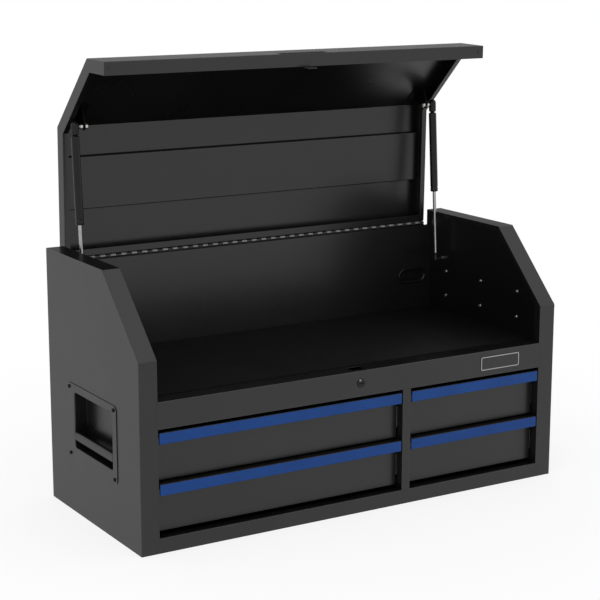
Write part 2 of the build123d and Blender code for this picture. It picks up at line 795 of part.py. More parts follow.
def strut_bracket(side):
    """Gusset on the inside of the lid's slope, with the ball stud and its nut in the tip."""
    ball_y, ball_z = closed_ball_y, closed_ball_z
    along = (math.cos(slope_angle), math.sin(slope_angle))
    inward = (math.sin(slope_angle), -math.cos(slope_angle))
    reach = (ball_y - front) * inward[0] + (ball_z - slope_foot_z) * inward[1] - sheet
    base = (ball_y - inward[0] * reach, ball_z - inward[1] * reach)

    def spot(run, rise):
        return (base[0] + run * along[0] + rise * inward[0],
                base[1] + run * along[1] + rise * inward[1])

    half, tip = bracket_half_length, bracket_tip_radius
    web = make_face(Polyline(spot(-half, 0), spot(half, 0), spot(tip, reach), spot(-tip, reach),
                             close=True))
    foot = make_face(Polyline(spot(-half, 0), spot(half, 0), spot(half, bracket_sheet),
                              spot(-half, bracket_sheet), close=True))
    inner_x = bracket_x - bracket_sheet
    bracket = yz_prism(web, side * inner_x, side * bracket_x)
    bracket += rod_x(tip, side * inner_x, side * bracket_x, ball_y, ball_z)
    bracket += yz_prism(foot, side * (bracket_x - bracket_flange_width), side * bracket_x)
    nut_x = inner_x - upper_nut_length
    bracket += hex_x(upper_nut_radius, side * nut_x, side * inner_x, ball_y, ball_z)
    collar_x = bracket_x + upper_collar_length
    bracket += hex_x(upper_nut_radius, side * bracket_x, side * collar_x, ball_y, ball_z)
    bracket += rod_x(stud_radius, side * bracket_x, side * strut_x, ball_y, ball_z)
    return bracket + Pos(side * strut_x, ball_y, ball_z) * Sphere(ball_radius)


# Lock
def lock_body():
    head = rod_y(lock_head_radius, front - lock_head_height, front, 0, lock_z)
    rim = head.edges().filter_by(GeomType.CIRCLE).sort_by(Axis.Y)[0]
    body = fillet(rim, lock_head_round)
    body += rod_y(lock_barrel_radius, front, fy(lock_barrel_length), 0, lock_z)
    bore = plug_radius + plug_fit
    return body - rod_y(bore, front - 2 * lock_head_height, fy(2 * lock_barrel_length), 0, lock_z)


def lock_nut():
    """Hexagonal nut that clamps the lock to the rail from inside."""
    nut = RegularPolygon(lock_nut_radius, 6)
    hole = Circle(lock_barrel_radius)
    ring = extrude(Plane.XZ * (nut - hole), amount=-lock_nut_thickness)
    return Pos(0, front + sheet, lock_z) * ring


def lock_plug():
    """Plug with its keyway, running through to the cam."""
    start = front - lock_head_height - plug_proud
    end = fy(lock_barrel_length + cam_gap)
    plug = rod_y(plug_radius, start, end, 0, lock_z)
    half_x, half_z = keyway_length / 2, keyway_width / 2
    keyway = block((-half_x, half_x), (start - sheet, start + keyway_depth),
                   (lock_z - half_z, lock_z + half_z))
    return plug - keyway


def lock_cam():
    """Arm on the plug's end, unlocked: it points along -X, with its tip bent back."""
    start = fy(lock_barrel_length + cam_gap)
    end = start + cam_thickness
    cam = rod_y(cam_hub_radius, start, end, 0, lock_z)
    tip_x = (-cam_reach - cam_half_width, -cam_reach + cam_half_width)
    span_z = (lock_z - cam_half_width, lock_z + cam_half_width)
    cam += block((tip_x[0], 0), (start, end), span_z)
    return cam + block(tip_x, (start, end + cam_tip_length), span_z)


# Badge plate and grommet
def badge_plate():
    plate = Pos(badge_x, badge_z) * RectangleRounded(badge_width, badge_height, badge_corner)
    return extrude(Plane.XZ.offset(-front) * plate, amount=badge_thickness)


def grommet_hole(inset):
    size = (grommet_width - 2 * inset, grommet_height - 2 * inset)
    return Pos(grommet_x, grommet_z) * SlotOverall(*size)


def cable_grommet():
    """Closed rubber grommet, with a flange on both faces of the back wall."""
    inner_y = back_wall - grommet_thickness
    flange = grommet_hole(0)
    core = grommet_hole(grommet_flange)
    inside = extrude(Plane.XZ.offset(-back_wall) * flange, amount=grommet_thickness)
    middle = extrude(Plane.XZ.offset(-back_wall - sheet) * core, amount=sheet)
    dish = extrude(Plane.XZ.offset(-inner_y - sheet) * core, amount=2 * sheet)
    outside_y = back_wall + sheet + grommet_thickness / 2
    outside = extrude(Plane.XZ.offset(-outside_y) * flange, amount=grommet_thickness / 2)
    return inside + middle + outside - dish


os.makedirs("parts", exist_ok=True)

for side, word in ((-1, "left"), (1, "right")):
    save(f"side_panel_{word}", side_panel(side))
    save(f"side_liner_{word}", side_liner(side))
    save(f"handle_cup_{word}", handle_cup(side))
    save(f"strut_tube_{word}", strut_tube(side))
    save(f"strut_rod_{word}", strut_rod(side))
    save(f"strut_upper_socket_{word}", strut_upper_socket(side))
    save(f"strut_lower_socket_{word}", strut_lower_socket(side))

save("back_panel", back_panel())
save("bottom_panel", bottom_panel())
save("top_rail", top_rail())
save("bottom_rail", bottom_rail())
save("centre_post", centre_post())
save("partition", partition())
save("slide_uprights", *slide_uprights())
save("till_floor", till_floor())
save("till_mat", till_mat())
save("handle_grips", handle_grip(-1), handle_grip(1))
save("handle_screws", *handle_screws())
save("liner_screws", *liner_screws())
save("strut_lower_studs", strut_lower_stud(-1), strut_lower_stud(1))
save("lock_body", lock_body())
save("lock_nut", lock_nut())
save("lock_plug", lock_plug())
save("lock_cam", lock_cam())
save("badge_plate", badge_plate())
save("cable_grommet", cable_grommet())
save("hinge_leaf_body", hinge_leaf_piece(0, -1))
save("hinge_pin", hinge_pin())
save("hinge_leaf_lid", lid_opened(hinge_leaf_piece(1, 1)))
save("lid_shell", lid_opened(lid_shell()))
save("lid_stiffener", lid_opened(lid_stiffener()))
save("lid_catch", lid_opened(lid_catch()))
save("lid_bumpers", lid_opened(lid_bumper(-1)), lid_opened(lid_bumper(1)))
save("strut_brackets", lid_opened(strut_bracket(-1)), lid_opened(strut_bracket(1)))

outer_members = []
for name, span, low_z in drawer_places():
    save(f"drawer_box_{name}", drawer_box(span, low_z))
    save(f"drawer_trim_{name}", drawer_trim(span, low_z))
    outer, middle, inner = slide_members(span, low_z)
    outer_members.extend(outer)
    save(f"slide_middle_{name}", *middle)
    save(f"slide_inner_{name}", *inner)
save("slide_outer_members", *outer_members)
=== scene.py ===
import math

import bmesh
import bpy
from mathutils import Matrix, Vector


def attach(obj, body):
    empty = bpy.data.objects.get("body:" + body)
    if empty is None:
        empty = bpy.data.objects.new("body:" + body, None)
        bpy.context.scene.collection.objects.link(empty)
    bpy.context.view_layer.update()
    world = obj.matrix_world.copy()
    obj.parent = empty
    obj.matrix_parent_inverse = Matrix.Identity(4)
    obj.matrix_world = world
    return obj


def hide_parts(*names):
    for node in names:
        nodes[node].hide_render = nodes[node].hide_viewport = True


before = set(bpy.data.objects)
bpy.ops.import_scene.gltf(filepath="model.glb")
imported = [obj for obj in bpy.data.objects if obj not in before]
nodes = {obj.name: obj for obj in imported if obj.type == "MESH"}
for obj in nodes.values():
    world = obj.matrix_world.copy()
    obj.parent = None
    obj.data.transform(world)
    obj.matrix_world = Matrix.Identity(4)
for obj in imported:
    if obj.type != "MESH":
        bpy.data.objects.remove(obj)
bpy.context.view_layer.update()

MM = 0.001

# Cabinet shell, in millimetres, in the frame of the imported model. SHEET and THIN are thicknesses
# of sheet metal, FOLD is the radius of its folds and RIM that of its edges, and JAMB and LIP are
# the depths of what is folded inwards round the drawers and the lid.
FRONT, BACK = -221.0, 221.0
OUTER_X, INNER_X = 520.5, 479.5
HEIGHT, SLOPE_FOOT, SLOPE_TOP_Y = 558.0, 400.0, -62.0
SHEET = 1.2
THIN = 1.0
FOLD = 1.7
RIM = 0.3
JAMB = 22.0
LIP = 12.0
BOTTOM_RAIL_TOP = 32.0
TOP_RAIL_LOW, TOP_RAIL_TOP, TOP_RAIL_REACH = 258.0, 315.0, 45.0
POST_LOW_X, POST_HIGH_X = 108.3, 129.5
MITRE = 3.5

# Lid, drawn closed; LID_OPEN turns it to the rest pose
LID_X = 474.3
LID_LOW = 316.0
LID_BACK = 219.8
LID_REAR_LOW = 529.5
LID_RIM = HEIGHT - LID_REAR_LOW
SIDE_LIP, REAR_LIP = 13.0, 15.0
HINGE_Y, HINGE_Z = 223.0, 526.0
HINGE_X, KNUCKLE_PITCH, KNUCKLE_RADIUS = 469.9, 25.4, 3.2
LID_OPEN = 89.0
POCKET_X, POCKET_LOW, POCKET_TOP, POCKET_DEPTH = 60.0, 319.0, 343.0, 10.0

# Camera found from the photograph's corners
CAMERA_PLACE = (-1.9228, -3.1288, 1.2295)
CAMERA_AIM = (0.50811, 0.83438, -0.21362)
CAMERA_ROLL = 0.10
CAMERA_LENS, CAMERA_SENSOR = 102.28, 36.0
CAMERA_FAR = 200.0


# Shader helpers
def new_material(name):
    material = bpy.data.materials.new(name)
    material.use_nodes = True
    tree = material.node_tree
    shader = tree.nodes["Principled BSDF"]
    coords = tree.nodes.new("ShaderNodeTexCoord")
    return material, tree, shader, coords.outputs["Object"]


def noise(tree, coords, scale, detail=2.0, stretch=None):
    if stretch:
        mapping = tree.nodes.new("ShaderNodeMapping")
        mapping.inputs["Scale"].default_value = stretch
        tree.links.new(coords, mapping.inputs["Vector"])
        coords = mapping.outputs["Vector"]
    node = tree.nodes.new("ShaderNodeTexNoise")
    node.inputs["Scale"].default_value = scale
    node.inputs["Detail"].default_value = detail
    tree.links.new(coords, node.inputs["Vector"])
    return node.outputs["Fac"]


def ranged(tree, value, low, high, from_low=0.3, from_high=0.7):
    node = tree.nodes.new("ShaderNodeMapRange")
    node.inputs["From Min"].default_value = from_low
    node.inputs["From Max"].default_value = from_high
    node.inputs["To Min"].default_value = low
    node.inputs["To Max"].default_value = high
    tree.links.new(value, node.inputs["Value"])
    return node.outputs["Result"]


def mixed(tree, factor, first, second):
    node = tree.nodes.new("ShaderNodeMix")
    node.data_type = "RGBA"
    node.inputs["A"].default_value = (*first, 1.0)
    node.inputs["B"].default_value = (*second, 1.0)
    tree.links.new(factor, node.inputs["Factor"])
    return node.outputs["Result"]


def bumped(tree, shader, height, depth):
    node = tree.nodes.new("ShaderNodeBump")
    node.inputs["Strength"].default_value = 1.0
    node.inputs["Distance"].default_value = depth
    tree.links.new(height, node.inputs["Height"])
    tree.links.new(node.outputs["Normal"], shader.inputs["Normal"])


# Layer Weight values between which matte paint loses its gloss, and the share that stays
MATTE_FROM, MATTE_TO, MATTE_REST = 0.36, 0.82, 0.015


def matte_edge(tree, specular):
    """Gloss that fades at shallow angles, as on powder coat and moulded plastic."""
    facing = tree.nodes.new("ShaderNodeLayerWeight")
    facing.inputs["Blend"].default_value = 0.5
    node = tree.nodes.new("ShaderNodeMapRange")
    node.interpolation_type = "SMOOTHSTEP"
    node.inputs["From Min"].default_value = MATTE_FROM
    node.inputs["From Max"].default_value = MATTE_TO
    node.inputs["To Min"].default_value = specular
    node.inputs["To Max"].default_value = specular * MATTE_REST
    tree.links.new(facing.outputs["Facing"], node.inputs["Value"])
    return node.outputs["Result"]


SMEAR_SCALE = 2.3


def finish_material(name, colour, colour_high, rough, rough_swing=0.04, metal=0.0, grain=900.0,
                    grain_depth=0.00004, patch=7.0, specular=0.5, stretch=None, matte=True):
    """Colour that varies in broad patches, uneven gloss and a fine surface grain.

    grain and patch are noise scales, and grain_depth is in metres. A matte finish has no gloss
    at shallow angles.
    """
    material, tree, shader, coords = new_material(name)
    broad = noise(tree, coords, patch, 4.0)
    fine = noise(tree, coords, grain, 2.0, stretch)
    tint = ranged(tree, broad, 0.0, 1.0)
    tree.links.new(mixed(tree, tint, colour, colour_high), shader.inputs["Base Color"])
    smear = noise(tree, coords, patch * SMEAR_SCALE, 2.0)
    gloss = ranged(tree, smear, rough - rough_swing, rough + rough_swing, 0.2, 0.8)
    tree.links.new(gloss, shader.inputs["Roughness"])
    shader.inputs["Metallic"].default_value = metal
    shader.inputs["Specular IOR Level"].default_value = specular
    if matte and not metal:
        tree.links.new(matte_edge(tree, specular), shader.inputs["Specular IOR Level"])
    bumped(tree, shader, fine, grain_depth)
    return material


def grey(value):
    return (value, value, value)


# Smooth powder coat, and for each finish its two colours, its roughness and what else differs
COAT = {"rough_swing": 0.012, "grain_depth": 0.000008}
FINISHES = {
    "body_black": (grey(0.0045), grey(0.0065), 0.28, COAT),
    # fold faces: a lighter paint that is a painted highlight along the folds
    "body_edge": (grey(0.008), grey(0.020), 0.28, {"patch": 60.0}),
    "inner_black": (grey(0.0025), grey(0.004), 0.30, COAT),
    "drawer_black": (grey(0.005), grey(0.007), 0.30, COAT),
    "trim_blue": ((0.003, 0.040, 0.185), (0.004, 0.048, 0.215), 0.34,
                  {"patch": 12.0, "specular": 0.2}),
    "handle_black": (grey(0.0045), grey(0.008), 0.28, {"grain": 1500.0}),
    "grip_black": (grey(0.0035), grey(0.006), 0.30, {"grain": 1500.0, "specular": 0.44}),
    "screw_dark": (grey(0.002), grey(0.004), 0.45, {"patch": 300.0, "specular": 0.12}),
    "screw_zinc": ((0.46, 0.45, 0.42), (0.62, 0.61, 0.58), 0.28, {"metal": 1.0, "patch": 300.0}),
    "grommet_black": (grey(0.0015), grey(0.003), 0.34,
                      {"grain": 600.0, "specular": 0.38, "matte": False}),
    "mat_black": (grey(0.0015), grey(0.003), 0.55,
                  {"grain": 420.0, "grain_depth": 0.0003, "specular": 0.17, "matte": False}),
    "rubber_black": (grey(0.006), grey(0.012), 0.55, {"grain": 600.0, "grain_depth": 0.0001}),
    "badge_dark": (grey(0.006), grey(0.010), 0.3, {}),
    "badge_rim": (grey(0.30), grey(0.40), 0.3, {"metal": 1.0, "grain": 2200.0}),
    "hinge_steel": ((0.42, 0.42, 0.41), (0.60, 0.60, 0.58), 0.32, {"metal": 1.0, "patch": 90.0}),
    "hinge_black": (grey(0.006), grey(0.012), 0.34, {"patch": 90.0}),
    # upper halves of the hinge knuckles: a lighter grey that is a painted highlight
    "knuckle_painted_highlight": (grey(0.14), grey(0.24), 0.42, {"patch": 160.0, "specular": 0.6}),
    "leaf_dark": (grey(0.0015), grey(0.003), 0.5, {"patch": 90.0, "specular": 0.12}),
    "stud_dark": (grey(0.02), grey(0.04), 0.35, {"metal": 0.6, "patch": 300.0}),
    "stud_dull": ((0.17, 0.17, 0.16), (0.26, 0.26, 0.25), 0.46, {"metal": 1.0, "patch": 300.0}),
    "bracket_black": (grey(0.002), grey(0.004), 0.45, {"specular": 0.12}),
    "plug_black": (grey(0.004), grey(0.007), 0.30, {"patch": 200.0, "specular": 0.26}),
    "slide_steel": ((0.40, 0.40, 0.41), (0.58, 0.58, 0.57), 0.34,
                    {"metal": 1.0, "patch": 40.0, "stretch": (0.05, 1.0, 1.0)}),
    "strut_black": (grey(0.003), grey(0.005), 0.22,
                    {"grain": 1500.0, "specular": 0.25, "matte": False}),
    "rod_chrome": (grey(0.30), grey(0.38), 0.16,
                   {"rough_swing": 0.03, "metal": 1.0, "patch": 120.0}),
    "socket_black": (grey(0.003), grey(0.006), 0.42, {"grain": 1200.0, "specular": 0.26}),
}
materials = {
    name: finish_material(name, low, high, rough, **more)
    for name, (low, high, rough, more) in FINISHES.items()
}


# The lock's painted highlight spot, with the radii where the painted highlight starts to fade and
# ends, and the heights between which the handle's cup darkens with painted shade, all in metres
LOCK_Z = 288.0
LOCK_GLINT_SPOT = (-3.4 * MM, (FRONT - 1.5) * MM, (LOCK_Z + 6.6) * MM)
LOCK_GLINT_CORE, LOCK_GLINT_END = 0.0014, 0.0036
CUP_SHADE_LOW, CUP_SHADE_HIGH = 0.181, 0.206


def object_coords(tree):
    return next(node for node in tree.nodes
                if node.bl_idname == "ShaderNodeTexCoord").outputs["Object"]


def lock_lacquer_glint():
    """Dark lacquer with a painted highlight: a lighter spot on the upper left of the lock's rounded
    rim.
    """
    material = finish_material("lock_lacquer_glint", grey(0.004), grey(0.007), 0.26, patch=200.0,
                               specular=0.28)
    tree = material.node_tree
    colour = tree.nodes["Principled BSDF"].inputs["Base Color"]
    away = tree.nodes.new("ShaderNodeVectorMath")
    away.operation = "DISTANCE"
    away.inputs[1].default_value = LOCK_GLINT_SPOT
    tree.links.new(object_coords(tree), away.inputs[0])
    # painted highlight: the base colour lightens to grey round the spot on the rim's upper left
    glint = ranged(tree, away.outputs["Value"], 1.0, 0.0, LOCK_GLINT_CORE, LOCK_GLINT_END)
    join = mixed(tree, glint, grey(0.0), grey(0.24))
    tree.links.new(colour.links[0].from_socket, join.node.inputs["A"])
    tree.links.new(join, colour)
    return material


def cup_paint():
    """The handle cup's paint, its gloss turned down towards the cup's bottom as painted shade."""
    material = finish_material("cup_black", grey(0.0045), grey(0.008), 0.28, grain=1500.0)
    tree = material.node_tree
    level = tree.nodes["Principled BSDF"].inputs["Specular IOR Level"]
    split = tree.nodes.new("ShaderNodeSeparateXYZ")
    tree.links.new(object_coords(tree), split.inputs[0])
    product = tree.nodes.new("ShaderNodeMath")
    product.operation = "MULTIPLY"
    tree.links.new(level.links[0].from_socket, product.inputs[0])
    # painted shade: the gloss falls to 0.12 of its value below the lower height
    painted_shade = ranged(tree, split.outputs["Z"], 0.12, 1.0, CUP_SHADE_LOW, CUP_SHADE_HIGH)
    tree.links.new(painted_shade, product.inputs[1])
    tree.links.new(product.outputs[0], level)
    return material


materials["lock_lacquer_glint"] = lock_lacquer_glint()
materials["cup_black"] = cup_paint()


# Mesh helpers
def add_object(name, mesh, body, slots, replaces):
    """A piece on its body, in the place of the CAD nodes it replaces."""
    piece = bpy.data.objects.new(name, mesh)
    bpy.context.scene.collection.objects.link(piece)
    for label in slots:
        mesh.materials.append(materials[label])
    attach(piece, body)
    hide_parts(*replaces)
    return piece


def smooth(piece, rim=None, angle=35.0):
    """Round the sharp rims and weight the normals towards the large faces.

    The rims are narrow enough not to meet. A clamp would shrink them all to nothing where the
    sheet has one short edge, and bend the large faces' normals.
    """
    if rim:
        bevel = piece.modifiers.new("rims", "BEVEL")
        bevel.width = rim * MM
        bevel.segments = 2
        bevel.limit_method = "ANGLE"
        bevel.angle_limit = math.radians(angle)
        bevel.use_clamp_overlap = False
    for face in piece.data.polygons:
        face.use_smooth = True
    weighted = piece.modifiers.new("normals", "WEIGHTED_NORMAL")
    weighted.mode = "FACE_AREA"
    weighted.keep_sharp = True


def thicken(piece, thick):
    """Give a skin its thickness, towards its inner side."""
    shell = piece.modifiers.new("thickness", "SOLIDIFY")
    shell.thickness = thick * MM
    shell.offset = -1.0
    shell.use_even_offset = True


def with_shared_corners(polygons):
    """Give each polygon the corners of its neighbours that lie along its edges."""
    points = {tuple(round(c, 3) for c in point) for polygon in polygons for point in polygon}
    corners = [Vector(p) for p in sorted(points)]
    result = []
    for polygon in polygons:
        loop = [Vector([round(c, 3) for c in point]) for point in polygon]
        full = []
        for start, end in zip(loop, loop[1:] + loop[:1]):
            full.append(start)
            run = end - start
            between = []
            for corner in corners:
                along = (corner - start).dot(run) / run.length_squared
                if 0.0 < along < 1.0 and (start + run * along - corner).length < 0.002:
                    if min((corner - start).length, (corner - end).length) > 0.002:
                        between.append((along, corner))
            full.extend(corner for _, corner in sorted(between, key=lambda item: item[0]))
        result.append(full)
    return result


# Angles in degrees from which an edge is folded or its rim rounded, and the steps of a fold
FOLD_LIMIT, RIM_LIMIT, FOLD_STEPS = 12.0, 60.0, 4


def sheet_piece(name, islands, outward, body, replaces, thick=SHEET, fold=FOLD,
                place=None, slots=("body_black", "body_edge")):
    """Folded sheet metal: flat panels joined along rounded folds, with a real thickness.

    Each island is a list of polygons whose shared edges become folds; outward holds, for
    each island, the direction its first polygon faces.
    """
    mesh = bpy.data.meshes.new(name)
    whole = bmesh.new()
    for polygons, facing in zip(islands, outward):
        bm = bmesh.new()
        found = {}
        first = None
        for loop in with_shared_corners(polygons):
            corners = []
            for point in loop:
                key = tuple(round(c, 3) for c in point)
                if key not in found:
                    found[key] = bm.verts.new([c * MM for c in key])
                corners.append(found[key])
            face = bm.faces.new(corners)
            first = first or face
        bmesh.ops.recalc_face_normals(bm, faces=bm.faces)
        bm.normal_update()
        if first.normal.dot(Vector(facing)) < 0:
            bmesh.ops.reverse_faces(bm, faces=bm.faces)
            bm.normal_update()
        folds = [
            edge for edge in bm.edges
            if len(edge.link_faces) == 2 and edge.calc_face_angle() > math.radians(FOLD_LIMIT)
        ]
        if folds:
            # the folds take the second slot; for the cabinet, lid and drawers this is a lighter
            # paint, a painted highlight
            bmesh.ops.bevel(bm, geom=folds, offset=fold * MM, offset_type="OFFSET",
                            segments=FOLD_STEPS, profile=0.5, affect="EDGES",
                            clamp_overlap=True, material=1)
        part = bpy.data.meshes.new(name + "_island")
        bm.to_mesh(part)
        bm.free()
        whole.from_mesh(part)
        bpy.data.meshes.remove(part)
    if place is not None:
        whole.transform(place)
    whole.to_mesh(mesh)
    whole.free()
    piece = add_object(name, mesh, body, slots, replaces)
    thicken(piece, thick)
    smooth(piece, RIM, RIM_LIMIT)


def rounded_ring(width, height, corner, steps=6):
    """Points of a rounded rectangle round the origin, anticlockwise."""
    corner = min(corner, width / 2, height / 2)
    points = []
    for sign_a, sign_b, start in ((1, 1, 0), (-1, 1, 90), (-1, -1, 180), (1, -1, 270)):
        centre = (sign_a * (width / 2 - corner), sign_b * (height / 2 - corner))
        for step in range(steps + 1):
            angle = math.radians(start + 90 * step / steps)
            points.append((centre[0] + corner * math.cos(angle),
                           centre[1] + corner * math.sin(angle)))
    return points


def grown_ring(size, corner, grow, steps=6):
    """A rounded rectangle, grown on all sides or, with a negative value, shrunk."""
    return rounded_ring(size[0] + 2 * grow, size[1] + 2 * grow, max(corner + grow, 0.5), steps)


def loft(bm, rings, cap_first=False, cap_last=False, materials_of=None):
    """Join closed rings of equal length with quads; their 3D points are in millimetres."""
    made = [[bm.verts.new([c * MM for c in point]) for point in ring] for ring in rings]
    count = len(made[0])
    for index, (lower, upper) in enumerate(zip(made, made[1:])):
        for k in range(count):
            face = bm.faces.new((lower[k], lower[(k + 1) % count],
                                 upper[(k + 1) % count], upper[k]))
            if materials_of:
                face.material_index = materials_of(index)
    if cap_first:
        bm.faces.new(list(reversed(made[0])))
    if cap_last:
        face = bm.faces.new(made[-1])
        if materials_of:
            face.material_index = materials_of(len(rings) - 1)


def lathe_rings(profile, steps=40):
    """Rings round the Z axis, each from its radius and its height."""
    return [
        [(radius * math.cos(2 * math.pi * k / steps), radius * math.sin(2 * math.pi * k / steps), z)
         for k in range(steps)]
        for radius, z in profile
    ]


def stud_rings(spots, centre, steps=48):
    """Rings along X, each from its place, its radius and, on a hexagon, its flats' half width."""
    rings = []
    for x, radius, flat in spots:
        ring = []
        for k in range(steps):
            angle = 2 * math.pi * k / steps
            reach = radius
            if flat:
                reach = min(radius, flat / math.cos((angle % (math.pi / 3)) - math.pi / 6))
            ring.append((x, centre[0] + reach * math.cos(angle),
                         centre[1] + reach * math.sin(angle)))
        rings.append(ring)
    return rings


def mesh_from(bm, name):
    bmesh.ops.recalc_face_normals(bm, faces=bm.faces)
    mesh = bpy.data.meshes.new(name)
    bm.to_mesh(mesh)
    bm.free()
    return mesh


# Cabinet: side panels, each with a window for its handle
WINDOW_Y, WINDOW_Z = (-98.3, 90.3), (145.7, 270.3)


def inset_corner(inset, y=None, z=None):
    """Where the slope's line, moved inwards, meets a vertical or a level line."""
    rise = (HEIGHT - SLOPE_FOOT) / (SLOPE_TOP_Y - FRONT)
    drop = inset * math.hypot(1.0, rise)
    if y is not None:
        return (y, SLOPE_FOOT + (y - FRONT) * rise - drop)
    return (FRONT + (z - SLOPE_FOOT + drop) / rise, z)


def at_x(x, points):
    return [(x, y, z) for y, z in points]


def side_panel(side, word):
    outer, inner = side * OUTER_X, side * INNER_X
    tab = side * (INNER_X + MITRE)
    window_low_y, window_high_y = WINDOW_Y
    window_low_z, window_high_z = WINDOW_Z
    slope_at_window = inset_corner(0, y=window_low_y)
    slope_top = (SLOPE_TOP_Y, HEIGHT)
    slope_foot = (FRONT, SLOPE_FOOT)
    outside = [
        at_x(outer, [(FRONT, 0), (window_low_y, 0), slope_at_window, slope_foot]),
        at_x(outer, [(window_low_y, 0), (window_high_y, 0), (window_high_y, window_low_z),
                     (window_low_y, window_low_z)]),
        at_x(outer, [(window_low_y, window_high_z), (window_high_y, window_high_z),
                     (window_high_y, HEIGHT), slope_top, slope_at_window]),
        at_x(outer, [(window_high_y, 0), (BACK, 0), (BACK, HEIGHT), (window_high_y, HEIGHT)]),
    ]
    front_flange = [(outer, 0), (outer, SLOPE_FOOT), (inner, SLOPE_FOOT), (inner, TOP_RAIL_TOP),
                    (tab, TOP_RAIL_TOP - MITRE), (tab, TOP_RAIL_LOW + MITRE),
                    (inner, TOP_RAIL_LOW), (inner, BOTTOM_RAIL_TOP),
                    (tab, BOTTOM_RAIL_TOP - MITRE), (tab, 0)]
    flanges = [
        [(x, FRONT, z) for x, z in front_flange],
        [(outer, *slope_foot), (outer, *slope_top), (inner, *slope_top), (inner, *slope_foot)],
        [(outer, *slope_top), (outer, BACK, HEIGHT), (inner, BACK, HEIGHT), (inner, *slope_top)],
        [(outer, BACK, HEIGHT), (outer, BACK, 0), (inner, BACK, 0), (inner, BACK, HEIGHT)],
    ]
    jamb_y = FRONT + JAMB
    lip_foot = inset_corner(LIP, y=jamb_y)
    lip_top = inset_corner(LIP, z=HEIGHT - LIP)
    rear_y = BACK - SHEET
    lips = [
        at_x(inner, [(FRONT, TOP_RAIL_TOP), slope_foot, lip_foot, (jamb_y, TOP_RAIL_TOP)]),
        at_x(inner, [slope_foot, slope_top, lip_top, lip_foot]),
        at_x(inner, [slope_top, (rear_y, HEIGHT), (rear_y, HEIGHT - LIP), lip_top]),
        at_x(inner, [(FRONT, BOTTOM_RAIL_TOP), (FRONT, TOP_RAIL_LOW), (jamb_y, TOP_RAIL_LOW),
                     (jamb_y, BOTTOM_RAIL_TOP)]),
    ]
    sheet_piece(f"side_panel_{word}_skin", [outside + flanges + lips], [(side, 0, 0)], "chest",
                [f"side_panel_{word}"])


side_panel(-1, "left")
side_panel(1, "right")


# Cabinet: front frame; the top rail's slot takes the lid's catch
SLOT_X, SLOT_FRONT, SLOT_BACK = 16.0, FRONT + 14.0, FRONT + 34.0


def level(z, x_span, y_span):
    (x_a, x_b), (y_a, y_b) = x_span, y_span
    return [(x_a, y_a, z), (x_b, y_a, z), (x_b, y_b, z), (x_a, y_b, z)]


def upright(y, x_span, z_span):
    (x_a, x_b), (z_a, z_b) = x_span, z_span
    return [(x_a, y, z_a), (x_b, y, z_a), (x_b, y, z_b), (x_a, y, z_b)]


def rail_returns(z):
    """The rails' folds over or under the drawers' two bays."""
    return [
        level(z, (-INNER_X, POST_LOW_X), (FRONT, FRONT + JAMB)),
        level(z, (POST_HIGH_X, INNER_X), (FRONT, FRONT + JAMB)),
    ]


def top_rail():
    reach = INNER_X + MITRE
    face = [
        (-INNER_X, TOP_RAIL_TOP), (-reach, TOP_RAIL_TOP - MITRE), (-reach, TOP_RAIL_LOW + MITRE),
        (-INNER_X, TOP_RAIL_LOW), (POST_LOW_X, TOP_RAIL_LOW),
        (POST_LOW_X + MITRE, TOP_RAIL_LOW + MITRE), (POST_HIGH_X - MITRE, TOP_RAIL_LOW + MITRE),
        (POST_HIGH_X, TOP_RAIL_LOW), (INNER_X, TOP_RAIL_LOW), (reach, TOP_RAIL_LOW + MITRE),
        (reach, TOP_RAIL_TOP - MITRE), (INNER_X, TOP_RAIL_TOP),
    ]
    shelf_back = FRONT + TOP_RAIL_REACH
    shelf = [
        level(TOP_RAIL_TOP, (-INNER_X, -SLOT_X), (FRONT, shelf_back)),
        level(TOP_RAIL_TOP, (SLOT_X, INNER_X), (FRONT, shelf_back)),
        level(TOP_RAIL_TOP, (-SLOT_X, SLOT_X), (FRONT, SLOT_FRONT)),
        level(TOP_RAIL_TOP, (-SLOT_X, SLOT_X), (SLOT_BACK, shelf_back)),
    ]
    polygons = [[(x, FRONT, z) for x, z in face]] + shelf + rail_returns(TOP_RAIL_LOW)
    sheet_piece("top_rail_skin", [polygons], [(0, -1, 0)], "chest", ["top_rail"])


def bottom_rail():
    reach = INNER_X + MITRE
    top = BOTTOM_RAIL_TOP
    face = [
        (-reach, 0), (reach, 0), (reach, top - MITRE), (INNER_X, top), (POST_HIGH_X, top),
        (POST_HIGH_X - MITRE, top - MITRE), (POST_LOW_X + MITRE, top - MITRE), (POST_LOW_X, top),
        (-INNER_X, top), (-reach, top - MITRE),
    ]
    polygons = [[(x, FRONT, z) for x, z in face]] + rail_returns(top)
    sheet_piece("bottom_rail_skin", [polygons], [(0, -1, 0)], "chest", ["bottom_rail"])


def centre_post():
    low, high = POST_LOW_X, POST_HIGH_X
    z_low, z_high = BOTTOM_RAIL_TOP, TOP_RAIL_LOW
    face = [(low, z_low), (low + MITRE, z_low - MITRE), (high - MITRE, z_low - MITRE),
            (high, z_low), (high, z_high), (high - MITRE, z_high + MITRE),
            (low + MITRE, z_high + MITRE), (low, z_high)]
    jamb = (FRONT, FRONT + JAMB)
    sides = [
        at_x(x, [(jamb[0], z_low), (jamb[1], z_low), (jamb[1], z_high), (jamb[0], z_high)])
        for x in (low, high)
    ]
    polygons = [[(x, FRONT, z) for x, z in face]] + sides
    sheet_piece("centre_post_skin", [polygons], [(0, -1, 0)], "chest", ["centre_post"])


top_rail()
bottom_rail()
centre_post()


# Lid: FLANGE_GAP keeps its foot flange, bent in from the front wall, off the side bands
FLANGE_GAP, BAND_FOOT = 0.6, 2.0
open_lid = (
    Matrix.Translation((0, HINGE_Y * MM, HINGE_Z * MM))
    @ Matrix.Rotation(math.radians(-LID_OPEN), 4, "X")
    @ Matrix.Translation((0, -HINGE_Y * MM, -HINGE_Z * MM))
)


